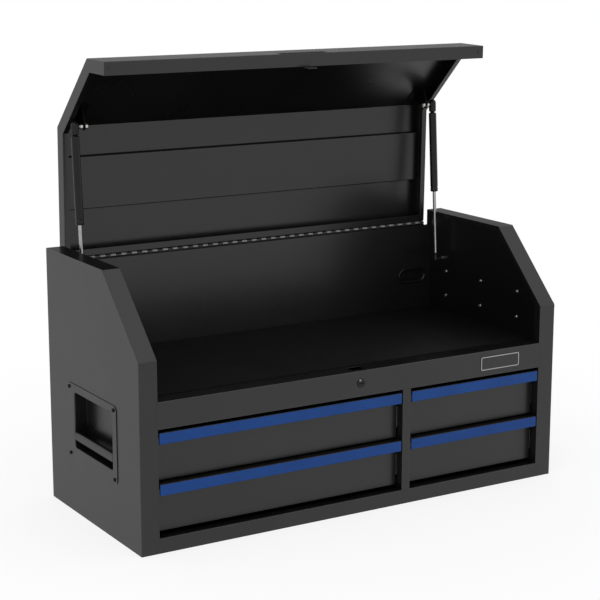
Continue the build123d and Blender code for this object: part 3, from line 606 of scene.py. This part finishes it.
def lid_shell():
    half = LID_X
    foot, knee, top, rear = ((FRONT, LID_LOW), (FRONT, SLOPE_FOOT), (SLOPE_TOP_Y, HEIGHT),
                             (LID_BACK, HEIGHT))
    heel = (LID_BACK, LID_REAR_LOW)

    def across(start, end):
        return [(-half, *start), (half, *start), (half, *end), (-half, *end)]

    p_x, p_low, p_high = POCKET_X, POCKET_LOW, POCKET_TOP
    front = [
        upright(FRONT, (-half, -p_x), (LID_LOW, SLOPE_FOOT)),
        upright(FRONT, (p_x, half), (LID_LOW, SLOPE_FOOT)),
        upright(FRONT, (-p_x, p_x), (LID_LOW, p_low)),
        upright(FRONT, (-p_x, p_x), (p_high, SLOPE_FOOT)),
    ]
    deep = FRONT + POCKET_DEPTH
    pocket = [
        upright(deep, (-p_x, p_x), (p_low, p_high)),
        level(p_low, (-p_x, p_x), (FRONT, deep)),
        level(p_high, (-p_x, p_x), (FRONT, deep)),
        at_x(-p_x, [(FRONT, p_low), (deep, p_low), (deep, p_high), (FRONT, p_high)]),
        at_x(p_x, [(FRONT, p_low), (deep, p_low), (deep, p_high), (FRONT, p_high)]),
    ]
    shell = [across(knee, top), across(top, rear), across(rear, heel)]
    band_front = FRONT + LID_RIM
    band_knee = inset_corner(LID_RIM, y=band_front)
    band_top = inset_corner(LID_RIM, z=LID_REAR_LOW)
    lip_y = LID_BACK - REAR_LIP
    bands = []
    for side in (-1, 1):
        x, lip_x = side * half, side * (half - SIDE_LIP)
        bands += [
            at_x(x, [foot, knee, band_knee, (band_front, LID_LOW)]),
            at_x(x, [knee, top, band_top, band_knee]),
            at_x(x, [top, rear, heel, band_top]),
        ]
        path = [(band_front, LID_LOW + BAND_FOOT), band_knee, band_top, (lip_y, LID_REAR_LOW)]
        for start, end in zip(path, path[1:]):
            bands.append([(x, *start), (x, *end), (lip_x, *end), (lip_x, *start)])
    rear_lip = [(-half, *heel), (half, *heel), (half, lip_y, LID_REAR_LOW),
                (-half, lip_y, LID_REAR_LOW)]
    flange = level(LID_LOW, (-half, half), (FRONT, band_front))
    inside = half - FLANGE_GAP
    flange = [(max(-inside, min(inside, x)) if y > FRONT else x, y, z) for x, y, z in flange]
    polygons = front + pocket + shell + bands + [flange, rear_lip]
    sheet_piece("lid_shell_skin", [polygons], [(0, -1, 0)], "lid", ["lid_shell"],
                place=open_lid)


lid_shell()


STIFFENER_X, STIFFENER_Y = 465.0, (BACK - 219.0, BACK - 100.0)
STIFFENER_DEPTH, STIFFENER_DRAFT, STIFFENER_FOLD = 10.0, 2.5, 1.4


def lid_stiffener():
    half, (y_a, y_b) = STIFFENER_X, STIFFENER_Y
    top = HEIGHT - SHEET
    low = top - STIFFENER_DEPTH
    draft = STIFFENER_DRAFT
    floor = level(low, (-half + draft, half - draft), (y_a + draft, y_b - draft))
    rim = level(top, (-half, half), (y_a, y_b))
    walls = [[rim[k], rim[(k + 1) % 4], floor[(k + 1) % 4], floor[k]] for k in range(4)]
    sheet_piece("lid_stiffener_skin", [[floor] + walls], [(0, 0, -1)], "lid", ["lid_stiffener"],
                thick=THIN, fold=STIFFENER_FOLD, place=open_lid)


lid_stiffener()


# Strut brackets on the lid's slope, each with a ball stud, its collar and its nut
BRACKET_X, BRACKET_SHEET, BRACKET_HALF, BRACKET_TIP, BRACKET_FOOT = 442.8, 2.0, 26.0, 9.0, 20.0
BRACKET_FOLD, BRACKET_SEAT, WASHER_END = 2.4, 0.05, BRACKET_X + 3.0
STRUT_X = 462.8
CLOSED_BALL = (-69.5, 492.0)
STUD_CORNER, STUD_FLAT, STUD_RADIUS = 6.0, 5.2, 3.0


def arc(centre, radius, start, end, steps=5):
    return [
        (centre[0] + radius * math.cos(math.radians(start + (end - start) * k / steps)),
         centre[1] + radius * math.sin(math.radians(start + (end - start) * k / steps)))
        for k in range(steps + 1)
    ]


def strut_bracket(side, word):
    lean = math.atan2(HEIGHT - SLOPE_FOOT, SLOPE_TOP_Y - FRONT)
    along, inward = (math.cos(lean), math.sin(lean)), (math.sin(lean), -math.cos(lean))
    reach = ((CLOSED_BALL[0] - FRONT) * inward[0] + (CLOSED_BALL[1] - SLOPE_FOOT) * inward[1]
             - SHEET - BRACKET_SEAT)

    def spot(x, run, rise):
        rise -= reach
        return (x, CLOSED_BALL[0] + run * along[0] + rise * inward[0],
                CLOSED_BALL[1] + run * along[1] + rise * inward[1])

    outer = side * BRACKET_X
    foot_x = side * (BRACKET_X - BRACKET_FOOT)
    rounded = arc((0, reach), BRACKET_TIP, 0, 180, 14)
    web = [spot(outer, -BRACKET_HALF, 0), spot(outer, BRACKET_HALF, 0)]
    web += [spot(outer, run, rise) for run, rise in rounded]
    foot = [spot(outer, -BRACKET_HALF, 0), spot(outer, BRACKET_HALF, 0),
            spot(foot_x, BRACKET_HALF, 0), spot(foot_x, -BRACKET_HALF, 0)]
    sheet_piece(f"strut_bracket_{word}", [[web, foot]], [(side, 0, 0)], "lid",
                ["strut_brackets"], thick=BRACKET_SHEET, fold=BRACKET_FOLD,
                place=open_lid, slots=("bracket_black", "bracket_black"))
    # rings from the stud's inner end to its ball: place, radius, half width of a hexagon's flats
    inner_x = BRACKET_X - BRACKET_SHEET
    nut = [(inner_x - 8.2, 2.3, 0), (inner_x - 7.8, 2.8, 0), (inner_x - 7.0, 2.8, 0),
           (inner_x - 7.0, 5.1, STUD_FLAT), (inner_x - 6.5, STUD_CORNER, STUD_FLAT),
           (inner_x, STUD_CORNER, STUD_FLAT)]
    washer = [(BRACKET_X, 4.4, 0), (WASHER_END, 4.4, 0)]
    collar = [(WASHER_END, 4.4, 0), (WASHER_END, 5.4, STUD_FLAT),
              (BRACKET_X + 3.4, STUD_CORNER, STUD_FLAT), (BRACKET_X + 7.4, STUD_CORNER, STUD_FLAT),
              (BRACKET_X + 8.0, 5.1, STUD_FLAT), (BRACKET_X + 8.0, STUD_RADIUS, 0)]
    ball = [(STRUT_X + x, radius, 0) for x, radius in
            [(-4.0, STUD_RADIUS)] + arc((0, 0), 5.0, 140, 0, 10)[:-1] + [(5.0, 0.3)]]
    bm = bmesh.new()
    for colour, spots in ((0, nut), (1, washer), (0, collar + ball)):
        rings = stud_rings([(side * x, radius, flat) for x, radius, flat in spots], CLOSED_BALL)
        loft(bm, rings, True, True, materials_of=lambda index: colour)
    bm.transform(open_lid)
    piece = add_object(f"strut_stud_{word}", mesh_from(bm, f"stud_{word}"), "lid",
                       ["screw_zinc", "bracket_black"], ["strut_brackets"])
    smooth(piece, 0.15, 40.0)


strut_bracket(-1, "left")
strut_bracket(1, "right")


# Piano hinge: the cabinet's leaf, with a rolled knuckle on every other place
KNUCKLE_GAP, KNUCKLE_CHAMFER, KNUCKLE_STEPS, HINGE_BORE = 0.4, 0.25, 24, 1.75
HINGE_LEAF, HINGE_WIDTH, LEAF_DROP, LEAF_CHAMFER = 1.0, 22.0, 2.5, 0.2
# Turn in degrees round each knuckle up to which it carries the painted highlight
KNUCKLE_HIGHLIGHT_TURN = 195.0


def hinge_leaf():
    front, back = HINGE_Y - KNUCKLE_RADIUS, HINGE_Y - KNUCKLE_RADIUS + HINGE_LEAF
    low, top = HINGE_Z - HINGE_WIDTH, HINGE_Z - LEAF_DROP
    chamfer, steps = LEAF_CHAMFER, KNUCKLE_STEPS
    leaf = [(front, low), (back, low), (back, top - chamfer), (back - chamfer, top),
            (front + chamfer, top), (front, top - chamfer)]
    bm = bmesh.new()
    loft(bm, [at_x(x, leaf) for x in (-HINGE_X, HINGE_X)], True, True,
         materials_of=lambda index: 1)
    for index in range(int(2 * HINGE_X / KNUCKLE_PITCH)):
        start = -HINGE_X + index * KNUCKLE_PITCH + KNUCKLE_GAP / 2
        end = start + KNUCKLE_PITCH / 2 - KNUCKLE_GAP
        shoulder = KNUCKLE_RADIUS - KNUCKLE_CHAMFER
        section = [(start, HINGE_BORE), (start, shoulder),
                   (start + KNUCKLE_CHAMFER, KNUCKLE_RADIUS),
                   (end - KNUCKLE_CHAMFER, KNUCKLE_RADIUS), (end, shoulder), (end, HINGE_BORE)]
        rings = stud_rings([(x, radius, 0) for x, radius in section], (HINGE_Y, HINGE_Z), steps)
        made = [[bm.verts.new([c * MM for c in point]) for point in ring] for ring in rings]
        made.append(made[0])
        for lower, upper in zip(made, made[1:]):
            for k in range(steps):
                face = bm.faces.new((lower[k], lower[(k + 1) % steps], upper[(k + 1) % steps],
                                     upper[k]))
                # the upper half of each knuckle takes a lighter finish, a painted highlight; the
                # lower half keeps the leaf's dark paint
                face.material_index = 0 if 360.0 * (k + 0.5) / steps < KNUCKLE_HIGHLIGHT_TURN else 1
    piece = add_object("hinge_leaf_rolled", mesh_from(bm, "hinge_leaf"), "chest",
                       ["knuckle_painted_highlight", "leaf_dark"], ["hinge_leaf_body"])
    smooth(piece)


hinge_leaf()


# Drawers
BAYS = {"left": (-INNER_X, POST_LOW_X), "right": (POST_HIGH_X, INNER_X)}
FACE_HEIGHT = 103.0
DRAWER_LOW = {"lower": 40.0, "upper": 147.0}
SIDE_GAP, RECESS, SLIDE_ROOM, DRAWER_LENGTH = 3.0, 21.0, 12.7, 400.0
PAN_FLOOR, PAN_RIM, PAN_GAP, PAN_FOLD = 6.0, 80.0, 0.1, 1.3
PULL_HEIGHT, TRIM_HEIGHT, TRIM_WALL = 21.3, 23.0, 1.6
TRIM_DEPTH, TRIM_HOOK, TRIM_GAP = 4.5, 7.4, 0.3
# Radii of the trim's top edge, of its hook's end and of its foot, behind and in front
TRIM_EDGE, TRIM_TIP, TRIM_HEEL, TRIM_NOSE = 0.7, 0.4, 1.2, 2.2


def drawer(bay, row):
    span, low = BAYS[bay], DRAWER_LOW[row]
    x = (span[0] + SIDE_GAP, span[1] - SIDE_GAP)
    top = low + FACE_HEIGHT
    face_y, lip_y = FRONT + RECESS, FRONT + TRIM_WALL
    front = [
        upright(face_y, x, (low, top)),
        level(top, x, (lip_y, face_y)),
        upright(lip_y, x, (top - PULL_HEIGHT, top)),
    ]
    body_x = (span[0] + SLIDE_ROOM, span[1] - SLIDE_ROOM)
    body_y = (face_y + THIN + PAN_GAP, face_y + DRAWER_LENGTH)
    floor, rim = low + PAN_FLOOR, low + PAN_RIM
    wall = [(body_y[0], floor), (body_y[1], floor), (body_y[1], rim), (body_y[0], rim)]
    pan = [
        level(floor, body_x, body_y),
        upright(body_y[0], body_x, (floor, rim)),
        upright(body_y[1], body_x, (floor, rim)),
        at_x(body_x[0], wall),
        at_x(body_x[1], wall),
    ]
    name = f"{bay}_{row}"
    sheet_piece(f"drawer_{name}_pan", [front, pan], [(0, -1, 0), (0, 0, -1)],
                f"drawer_{name}", [f"drawer_box_{name}"], thick=THIN,
                fold=PAN_FOLD, slots=("drawer_black", "body_edge"))


def trim(bay, row):
    """Strip with a rounded foot, clipped round the lower edge of the drawer's pull."""
    span, low = BAYS[bay], DRAWER_LOW[row]
    x = (span[0] + SIDE_GAP, span[1] - SIDE_GAP)
    top = low + FACE_HEIGHT
    foot = top - TRIM_HEIGHT
    back = FRONT + TRIM_DEPTH
    inner = back - THIN
    hook_top = foot + TRIM_HOOK
    ledge = top - PULL_HEIGHT - TRIM_GAP
    profile = (
        arc((FRONT + TRIM_EDGE, top - TRIM_EDGE), TRIM_EDGE, 180, 90)
        + [(FRONT + TRIM_WALL, top), (FRONT + TRIM_WALL, ledge), (inner, ledge),
           (inner, hook_top)]
        + arc((back - TRIM_TIP, hook_top - TRIM_TIP), TRIM_TIP, 90, 0, 3)
        + arc((back - TRIM_HEEL, foot + TRIM_HEEL), TRIM_HEEL, 0, -90)
        + arc((FRONT + TRIM_NOSE, foot + TRIM_NOSE), TRIM_NOSE, -90, -180)
    )
    bm = bmesh.new()
    loft(bm, [[(value, y, z) for y, z in profile] for value in x], True, True)
    name = f"{bay}_{row}"
    piece = add_object(f"drawer_{name}_trim", mesh_from(bm, f"trim_{name}"), f"drawer_{name}",
                       ["trim_blue"], [f"drawer_trim_{name}"])
    smooth(piece, 0.25, 50.0)


for bay in BAYS:
    for row in DRAWER_LOW:
        drawer(bay, row)
        trim(bay, row)


# Side handles
PLATE_CENTRE, PLATE_SIZE, PLATE_CORNER = (4.0, 203.5), (242.0, 166.0), 12.0
CUP_CENTRE, CUP_SIZE, CUP_CORNER, CUP_FLOOR = (-4.0, 208.0), (185.0, 121.0), 7.0, -26.5
CUP_SHEET, CUP_WALL_RING = 1.4, 6
GRIP_PROUD, GRIP_DEPTH, GRIP_HEIGHT, GRIP_CORNER, GRIP_RISE = 1.6, 13.0, 20.0, 5.5, 14.0
# How far the grip's ends sink into the cup's walls, where they start to widen, and by how much
GRIP_SINK, GRIP_NECK, GRIP_FLARE = 0.4, 1.4, 1.08


def handle(side, word):
    """A plate with a pressed cup, from the plate's edge to the cup's floor."""
    def ring(centre, size, corner, grow, depth):
        return [(side * (OUTER_X + depth), centre[0] + a, centre[1] + b)
                for a, b in grown_ring(size, corner, grow)]

    plate = (PLATE_CENTRE, PLATE_SIZE, PLATE_CORNER)
    cup = (CUP_CENTRE, CUP_SIZE, CUP_CORNER)
    rings = [
        ring(*plate, 0.0, 0.0), ring(*plate, 0.0, 0.9), ring(*plate, -0.25, 1.4),
        ring(*plate, -0.7, 1.6), ring(*cup, 2.4, 1.6), ring(*cup, 1.3, 1.35), ring(*cup, 0.5, 0.7),
        ring(*cup, 0.1, -0.3), ring(*cup, 0.0, -1.5), ring(*cup, -0.9, CUP_FLOOR + 0.5),
        ring(*cup, -1.4, CUP_FLOOR),
    ]
    bm = bmesh.new()
    # the cup's walls and floor take the cup paint, with painted shade towards its bottom
    loft(bm, rings, cap_last=True,
         materials_of=lambda index: 1 if index >= CUP_WALL_RING else 0)
    mesh = mesh_from(bm, f"handle_{word}")
    piece = add_object(f"handle_{word}_cup", mesh, "chest", ["handle_black", "cup_black"],
                       [f"handle_cup_{word}"])
    if side * sum(face.normal.x * face.area for face in mesh.polygons) < 0:
        mesh.flip_normals()
    thicken(piece, CUP_SHEET)
    smooth(piece)


handle(-1, "left")
handle(1, "right")


def grips():
    """Both grip bars, each from wall to wall of its cup and a little taller at the walls."""
    section = rounded_ring(GRIP_DEPTH, GRIP_HEIGHT, GRIP_CORNER, 8)
    centre_x = OUTER_X + GRIP_PROUD - GRIP_DEPTH / 2
    centre_z = CUP_CENTRE[1] - CUP_SIZE[1] / 2 + GRIP_RISE + GRIP_HEIGHT / 2
    middle, half = CUP_CENTRE[0], CUP_SIZE[0] / 2
    spots = [(middle - half - GRIP_SINK, GRIP_FLARE), (middle - half + GRIP_NECK, 1.0),
             (middle + half - GRIP_NECK, 1.0), (middle + half + GRIP_SINK, GRIP_FLARE)]
    bm = bmesh.new()
    for side in (-1, 1):
        rings = [[(side * (centre_x + a), y, centre_z + b * tall) for a, b in section]
                 for y, tall in spots]
        loft(bm, rings, True, True)
    piece = add_object("handle_grip_bars", mesh_from(bm, "grips"), "chest", ["grip_black"],
                       ["handle_grips"])
    smooth(piece, 0.3, 50.0)


grips()


# Gas struts
FOOT_BALL, HEAD_BALL = (158.0, 447.0), (183.9, 817.86)
STRUT_LENGTH = math.hypot(HEAD_BALL[0] - FOOT_BALL[0], HEAD_BALL[1] - FOOT_BALL[1])
STRUT_LEAN = math.atan2(HEAD_BALL[0] - FOOT_BALL[0], HEAD_BALL[1] - FOOT_BALL[1])
TUBE_TOP = STRUT_LENGTH - 19.8
TUBE_LOW = STRUT_LENGTH - 208.5
# Rings of the head socket's boss, by their place from the ball and their radius
BOSS = [(0.0, 6.9), (-7.6, 6.9), (-8.3, 6.3), (-8.3, 4.0), (-6.0, 3.7)]


def strut_place(side):
    spot = Matrix.Translation((side * STRUT_X * MM, FOOT_BALL[0] * MM, FOOT_BALL[1] * MM))
    return spot @ Matrix.Rotation(-STRUT_LEAN, 4, "X")


def strut_tube(side, word):
    """Tube with a rolled-in foot round the rod, a crimped groove and a recess for its neck."""
    low, top = TUBE_LOW, TUBE_TOP
    # radius and height above the lower ball
    profile = [
        (4.2, low + 3.0), (4.2, low + 0.6), (5.0, low), (6.9, low), (8.0, low + 0.5),
        (8.8, low + 1.6), (9.0, low + 3.0), (9.0, low + 8.5), (8.7, low + 9.4), (8.25, low + 10.4),
        (8.25, low + 11.2), (8.7, low + 12.2), (9.0, low + 13.1), (9.0, top - 6.0),
        (9.0, top - 2.6), (8.6, top - 1.3), (7.8, top - 0.4), (6.6, top), (5.5, top),
        (5.0, top - 0.4), (4.8, top - 0.4),
    ]
    bm = bmesh.new()
    loft(bm, lathe_rings(profile, 48), True, True)
    bm.transform(strut_place(side))
    piece = add_object(f"strut_{word}_cylinder", mesh_from(bm, f"tube_{word}"),
                       f"strut_tube_{word}", ["strut_black"],
                       [f"strut_tube_{word}"])
    smooth(piece)


def strut_sockets(side, word):
    """Plastic sockets: one with a boss over the lid's ball, a slim one on the rod's foot."""
    head = STRUT_LENGTH
    upper = [(4.8, head - 20.6), (4.8, head - 18.4), (6.4, head - 17.8), (7.6, head - 17.0),
             (8.2, head - 15.4), (8.4, head - 12.0)]
    upper += [(8.5 * math.cos(math.radians(a)), head + 3.6 + 8.4 * math.sin(math.radians(a)))
              for a in (0, 18, 36, 52, 66, 78, 86)]
    lower = [(4.1, 15.4), (4.6, 15.0), (4.6, 7.5), (5.2, 5.4), (5.9, 3.6), (6.2, 1.0), (6.2, -1.0),
             (5.9, -3.4), (5.0, -5.8), (3.6, -7.6), (1.6, -8.8)]
    for name, profile, node, body in (("head", upper, "upper", f"strut_tube_{word}"),
                                      ("foot", lower, "lower", f"strut_rod_{word}")):
        bm = bmesh.new()
        loft(bm, lathe_rings(profile), True, True)
        if name == "head":
            rings = stud_rings([(side * x, radius, 0) for x, radius in BOSS], (0.0, head))
            loft(bm, rings, True, True)
        bm.transform(strut_place(side))
        piece = add_object(f"strut_{word}_{name}_socket", mesh_from(bm, f"socket_{name}_{word}"),
                           body, ["socket_black"],
                           [f"strut_{node}_socket_{word}"])
        smooth(piece)


for side, word in ((-1, "left"), (1, "right")):
    strut_tube(side, word)
    strut_sockets(side, word)


# Lower strut studs
LINER_X = 487.8
COLLAR_X, COLLAR_CORNER, COLLAR_FLAT, SHAFT_RADIUS = LINER_X - 8.0, 5.2, 4.5, 3.5


def lower_stud(side, word):
    """Stud with a hexagonal collar against the liner."""
    collar = [(COLLAR_X, SHAFT_RADIUS, 0), (COLLAR_X, 4.4, COLLAR_FLAT),
              (COLLAR_X + 0.5, COLLAR_CORNER, COLLAR_FLAT), (LINER_X, COLLAR_CORNER, COLLAR_FLAT)]
    shaft = [(STRUT_X + 4.5, 3.0, 0), (STRUT_X + 5.0, SHAFT_RADIUS, 0),
             (COLLAR_X, SHAFT_RADIUS, 0)]
    bm = bmesh.new()
    for colour, spots in enumerate((collar, shaft)):
        rings = stud_rings([(side * x, radius, flat) for x, radius, flat in spots], FOOT_BALL)
        loft(bm, rings, True, True, materials_of=lambda index: colour)
    piece = add_object(f"strut_foot_stud_{word}", mesh_from(bm, f"foot_stud_{word}"), "chest",
                       ["stud_dull", "stud_dark"], ["strut_lower_studs"])
    smooth(piece, 0.15, 40.0)


lower_stud(-1, "left")
lower_stud(1, "right")


# Badge: a blank plate with a raised rim
BADGE_CENTRE, BADGE_SIZE, BADGE_CORNER = (369.0, 287.0), (107.0, 32.0), 5.0
# Each ring's margin from the plate's edge and how far it stands proud, and the rim's bands
BADGE_RINGS = [(0, 0), (0, 0.7), (-0.2, 0.85), (-0.9, 0.85), (-1.0, 1.15), (-2.8, 1.15),
               (-2.9, 0.85), (-5.8, 0.85), (-7.0, 0.85)]
BADGE_RIM = (3, 4, 5)


def badge():
    rings = [[(BADGE_CENTRE[0] + a, FRONT - proud, BADGE_CENTRE[1] + b)
              for a, b in grown_ring(BADGE_SIZE, BADGE_CORNER, grow)]
             for grow, proud in BADGE_RINGS]
    bm = bmesh.new()
    loft(bm, rings, cap_last=True, materials_of=lambda index: 1 if index in BADGE_RIM else 0)
    piece = add_object("badge_blank", mesh_from(bm, "badge"), "chest",
                       ["badge_dark", "badge_rim"], ["badge_plate"])
    smooth(piece)


badge()


# Cable grommet: a bead round a thin membrane, on both faces of the back wall
GROMMET_CENTRE, GROMMET_SIZE = (436.0, 398.0), (80.0, 38.0)
# Each ring's margin from the bead's outline and its place in depth, from the till outwards
GROMMET_RINGS = [(-7.0, 218.5), (-5.2, 218.5), (-4.9, 217.3), (-4.3, 216.5), (-3.4, 216.1),
                 (-1.5, 216.1), (-0.5, 216.5), (0.0, 217.4), (0.0, 218.6), (-5.0, 218.6),
                 (-5.0, 219.8), (0.0, 219.8), (0.0, 220.4), (-0.5, 221.0), (-4.5, 221.0),
                 (-5.0, 220.6), (-5.2, 219.9), (-7.0, 219.9)]


def grommet():
    rings = [[(GROMMET_CENTRE[0] + a, y, GROMMET_CENTRE[1] + b)
              for a, b in grown_ring(GROMMET_SIZE, GROMMET_SIZE[1] / 2, grow, 10)]
             for grow, y in GROMMET_RINGS]
    bm = bmesh.new()
    loft(bm, rings, True, True)
    piece = add_object("grommet_moulded", mesh_from(bm, "grommet"), "chest", ["grommet_black"],
                       ["cable_grommet"])
    smooth(piece)


grommet()


# Carried-over CAD nodes take the finish that their slot names, apart from these
OWN_FINISHES = {
    "hinge_leaf_lid": "hinge_black",
    "lid_catch": "hinge_black",
    "back_panel": "body_black",
    "handle_screws": "screw_dark",
    "lock_body": "lock_lacquer_glint",
    "lock_plug": "plug_black",
}
for name, node in nodes.items():
    if not node.hide_render:
        finish = OWN_FINISHES.get(name, node.material_slots[0].name.split(".")[0])
        for slot in node.material_slots:
            slot.material = materials[finish]

# Stage: pale floor and a white surround, in metres. The floor's white share grows from the
# first to the second value between the two distances, and the world is a little dimmer as a
# light than as what is seen.
FLOOR_REACH, FLOOR_TONES, FLOOR_PATCH = 60.0, (0.955, 0.965), 0.7
WHITE_SHARE, WHITE_DISTANCE = (0.8, 1.0), (0.6, 1.5)
WORLD_LIGHT, WORLD_SEEN = 0.88, 1.0

floor_mesh = bpy.data.meshes.new("floor")
floor_mesh.from_pydata(
    [(a * FLOOR_REACH, b * FLOOR_REACH, 0) for a, b in ((-1, -1), (1, -1), (1, 1), (-1, 1))],
    [], [(0, 1, 2, 3)])
floor = bpy.data.objects.new("floor", floor_mesh)
bpy.context.scene.collection.objects.link(floor)
floor_material, floor_tree, floor_shader, floor_coords = new_material("floor")
floor_tone = ranged(floor_tree, noise(floor_tree, floor_coords, FLOOR_PATCH, 2.0), 0.0, 1.0)
floor_tree.links.new(mixed(floor_tree, floor_tone, *(grey(tone) for tone in FLOOR_TONES)),
                     floor_shader.inputs["Base Color"])
floor_shader.inputs["Roughness"].default_value = 0.9
floor_shader.inputs["Specular IOR Level"].default_value = 0.0


def seen_rays(tree):
    """1 for what the camera sees, directly, in a reflection or through glass."""
    path = tree.nodes.new("ShaderNodeLightPath")
    seen = path.outputs["Is Camera Ray"]
    for word in ("Is Glossy Ray", "Is Transmission Ray"):
        joined = tree.nodes.new("ShaderNodeMath")
        joined.operation = "MAXIMUM"
        tree.links.new(seen, joined.inputs[0])
        tree.links.new(path.outputs[word], joined.inputs[1])
        seen = joined.outputs[0]
    return seen


# The floor is white far from the object, and lets its soft shadow through near it
distance = floor_tree.nodes.new("ShaderNodeVectorMath")
distance.operation = "LENGTH"
floor_tree.links.new(floor_coords, distance.inputs[0])
white_share = ranged(floor_tree, distance.outputs["Value"], *WHITE_SHARE, *WHITE_DISTANCE)
share = floor_tree.nodes.new("ShaderNodeMath")
share.operation = "MULTIPLY"
floor_tree.links.new(white_share, share.inputs[0])
floor_tree.links.new(seen_rays(floor_tree), share.inputs[1])
white = floor_tree.nodes.new("ShaderNodeEmission")
blend = floor_tree.nodes.new("ShaderNodeMixShader")
floor_tree.links.new(share.outputs[0], blend.inputs["Fac"])
floor_tree.links.new(floor_shader.outputs["BSDF"], blend.inputs[1])
floor_tree.links.new(white.outputs["Emission"], blend.inputs[2])
floor_tree.links.new(blend.outputs["Shader"],
                     floor_tree.nodes["Material Output"].inputs["Surface"])
floor_mesh.materials.append(floor_material)

world = bpy.data.worlds.new("studio")
bpy.context.scene.world = world
world.use_nodes = True
world_tree = world.node_tree
backdrop = world_tree.nodes["Background"]
backdrop.inputs["Color"].default_value = (1, 1, 1, 1)
strength = ranged(world_tree, seen_rays(world_tree), WORLD_LIGHT, WORLD_SEEN, 0.0, 1.0)
world_tree.links.new(strength, backdrop.inputs["Strength"])


# Lamps: place, aim and size in metres, power in watts
def softbox(name, place, aim, size, power):
    light = bpy.data.lights.new(name, "AREA")
    light.shape = "RECTANGLE"
    light.size, light.size_y = size
    light.energy = power
    lamp = bpy.data.objects.new(name, light)
    bpy.context.scene.collection.objects.link(lamp)
    direction = Vector(aim) - Vector(place)
    lamp.matrix_world = (Matrix.Translation(place)
                         @ direction.to_track_quat("-Z", "Y").to_matrix().to_4x4())


softbox("key", (-3.2, -2.6, 3.4), (0, 0, 0.4), (2.6, 2.6), 30.0)
softbox("top", (0.5, -0.8, 3.3), (-0.3, 0, 0.5), (1.8, 1.8), 3.0)

# Camera
camera_data = bpy.data.cameras.new("camera")
camera_data.lens = CAMERA_LENS
camera_data.sensor_width = CAMERA_SENSOR
camera_data.clip_end = CAMERA_FAR
camera = bpy.data.objects.new("camera", camera_data)
bpy.context.scene.collection.objects.link(camera)
turn = Vector(CAMERA_AIM).to_track_quat("-Z", "Y").to_matrix().to_4x4()
camera.matrix_world = (Matrix.Translation(CAMERA_PLACE) @ turn
                       @ Matrix.Rotation(math.radians(CAMERA_ROLL), 4, "Z"))
bpy.context.scene.camera = camera
bpy.context.scene.view_settings.view_transform = "Standard"
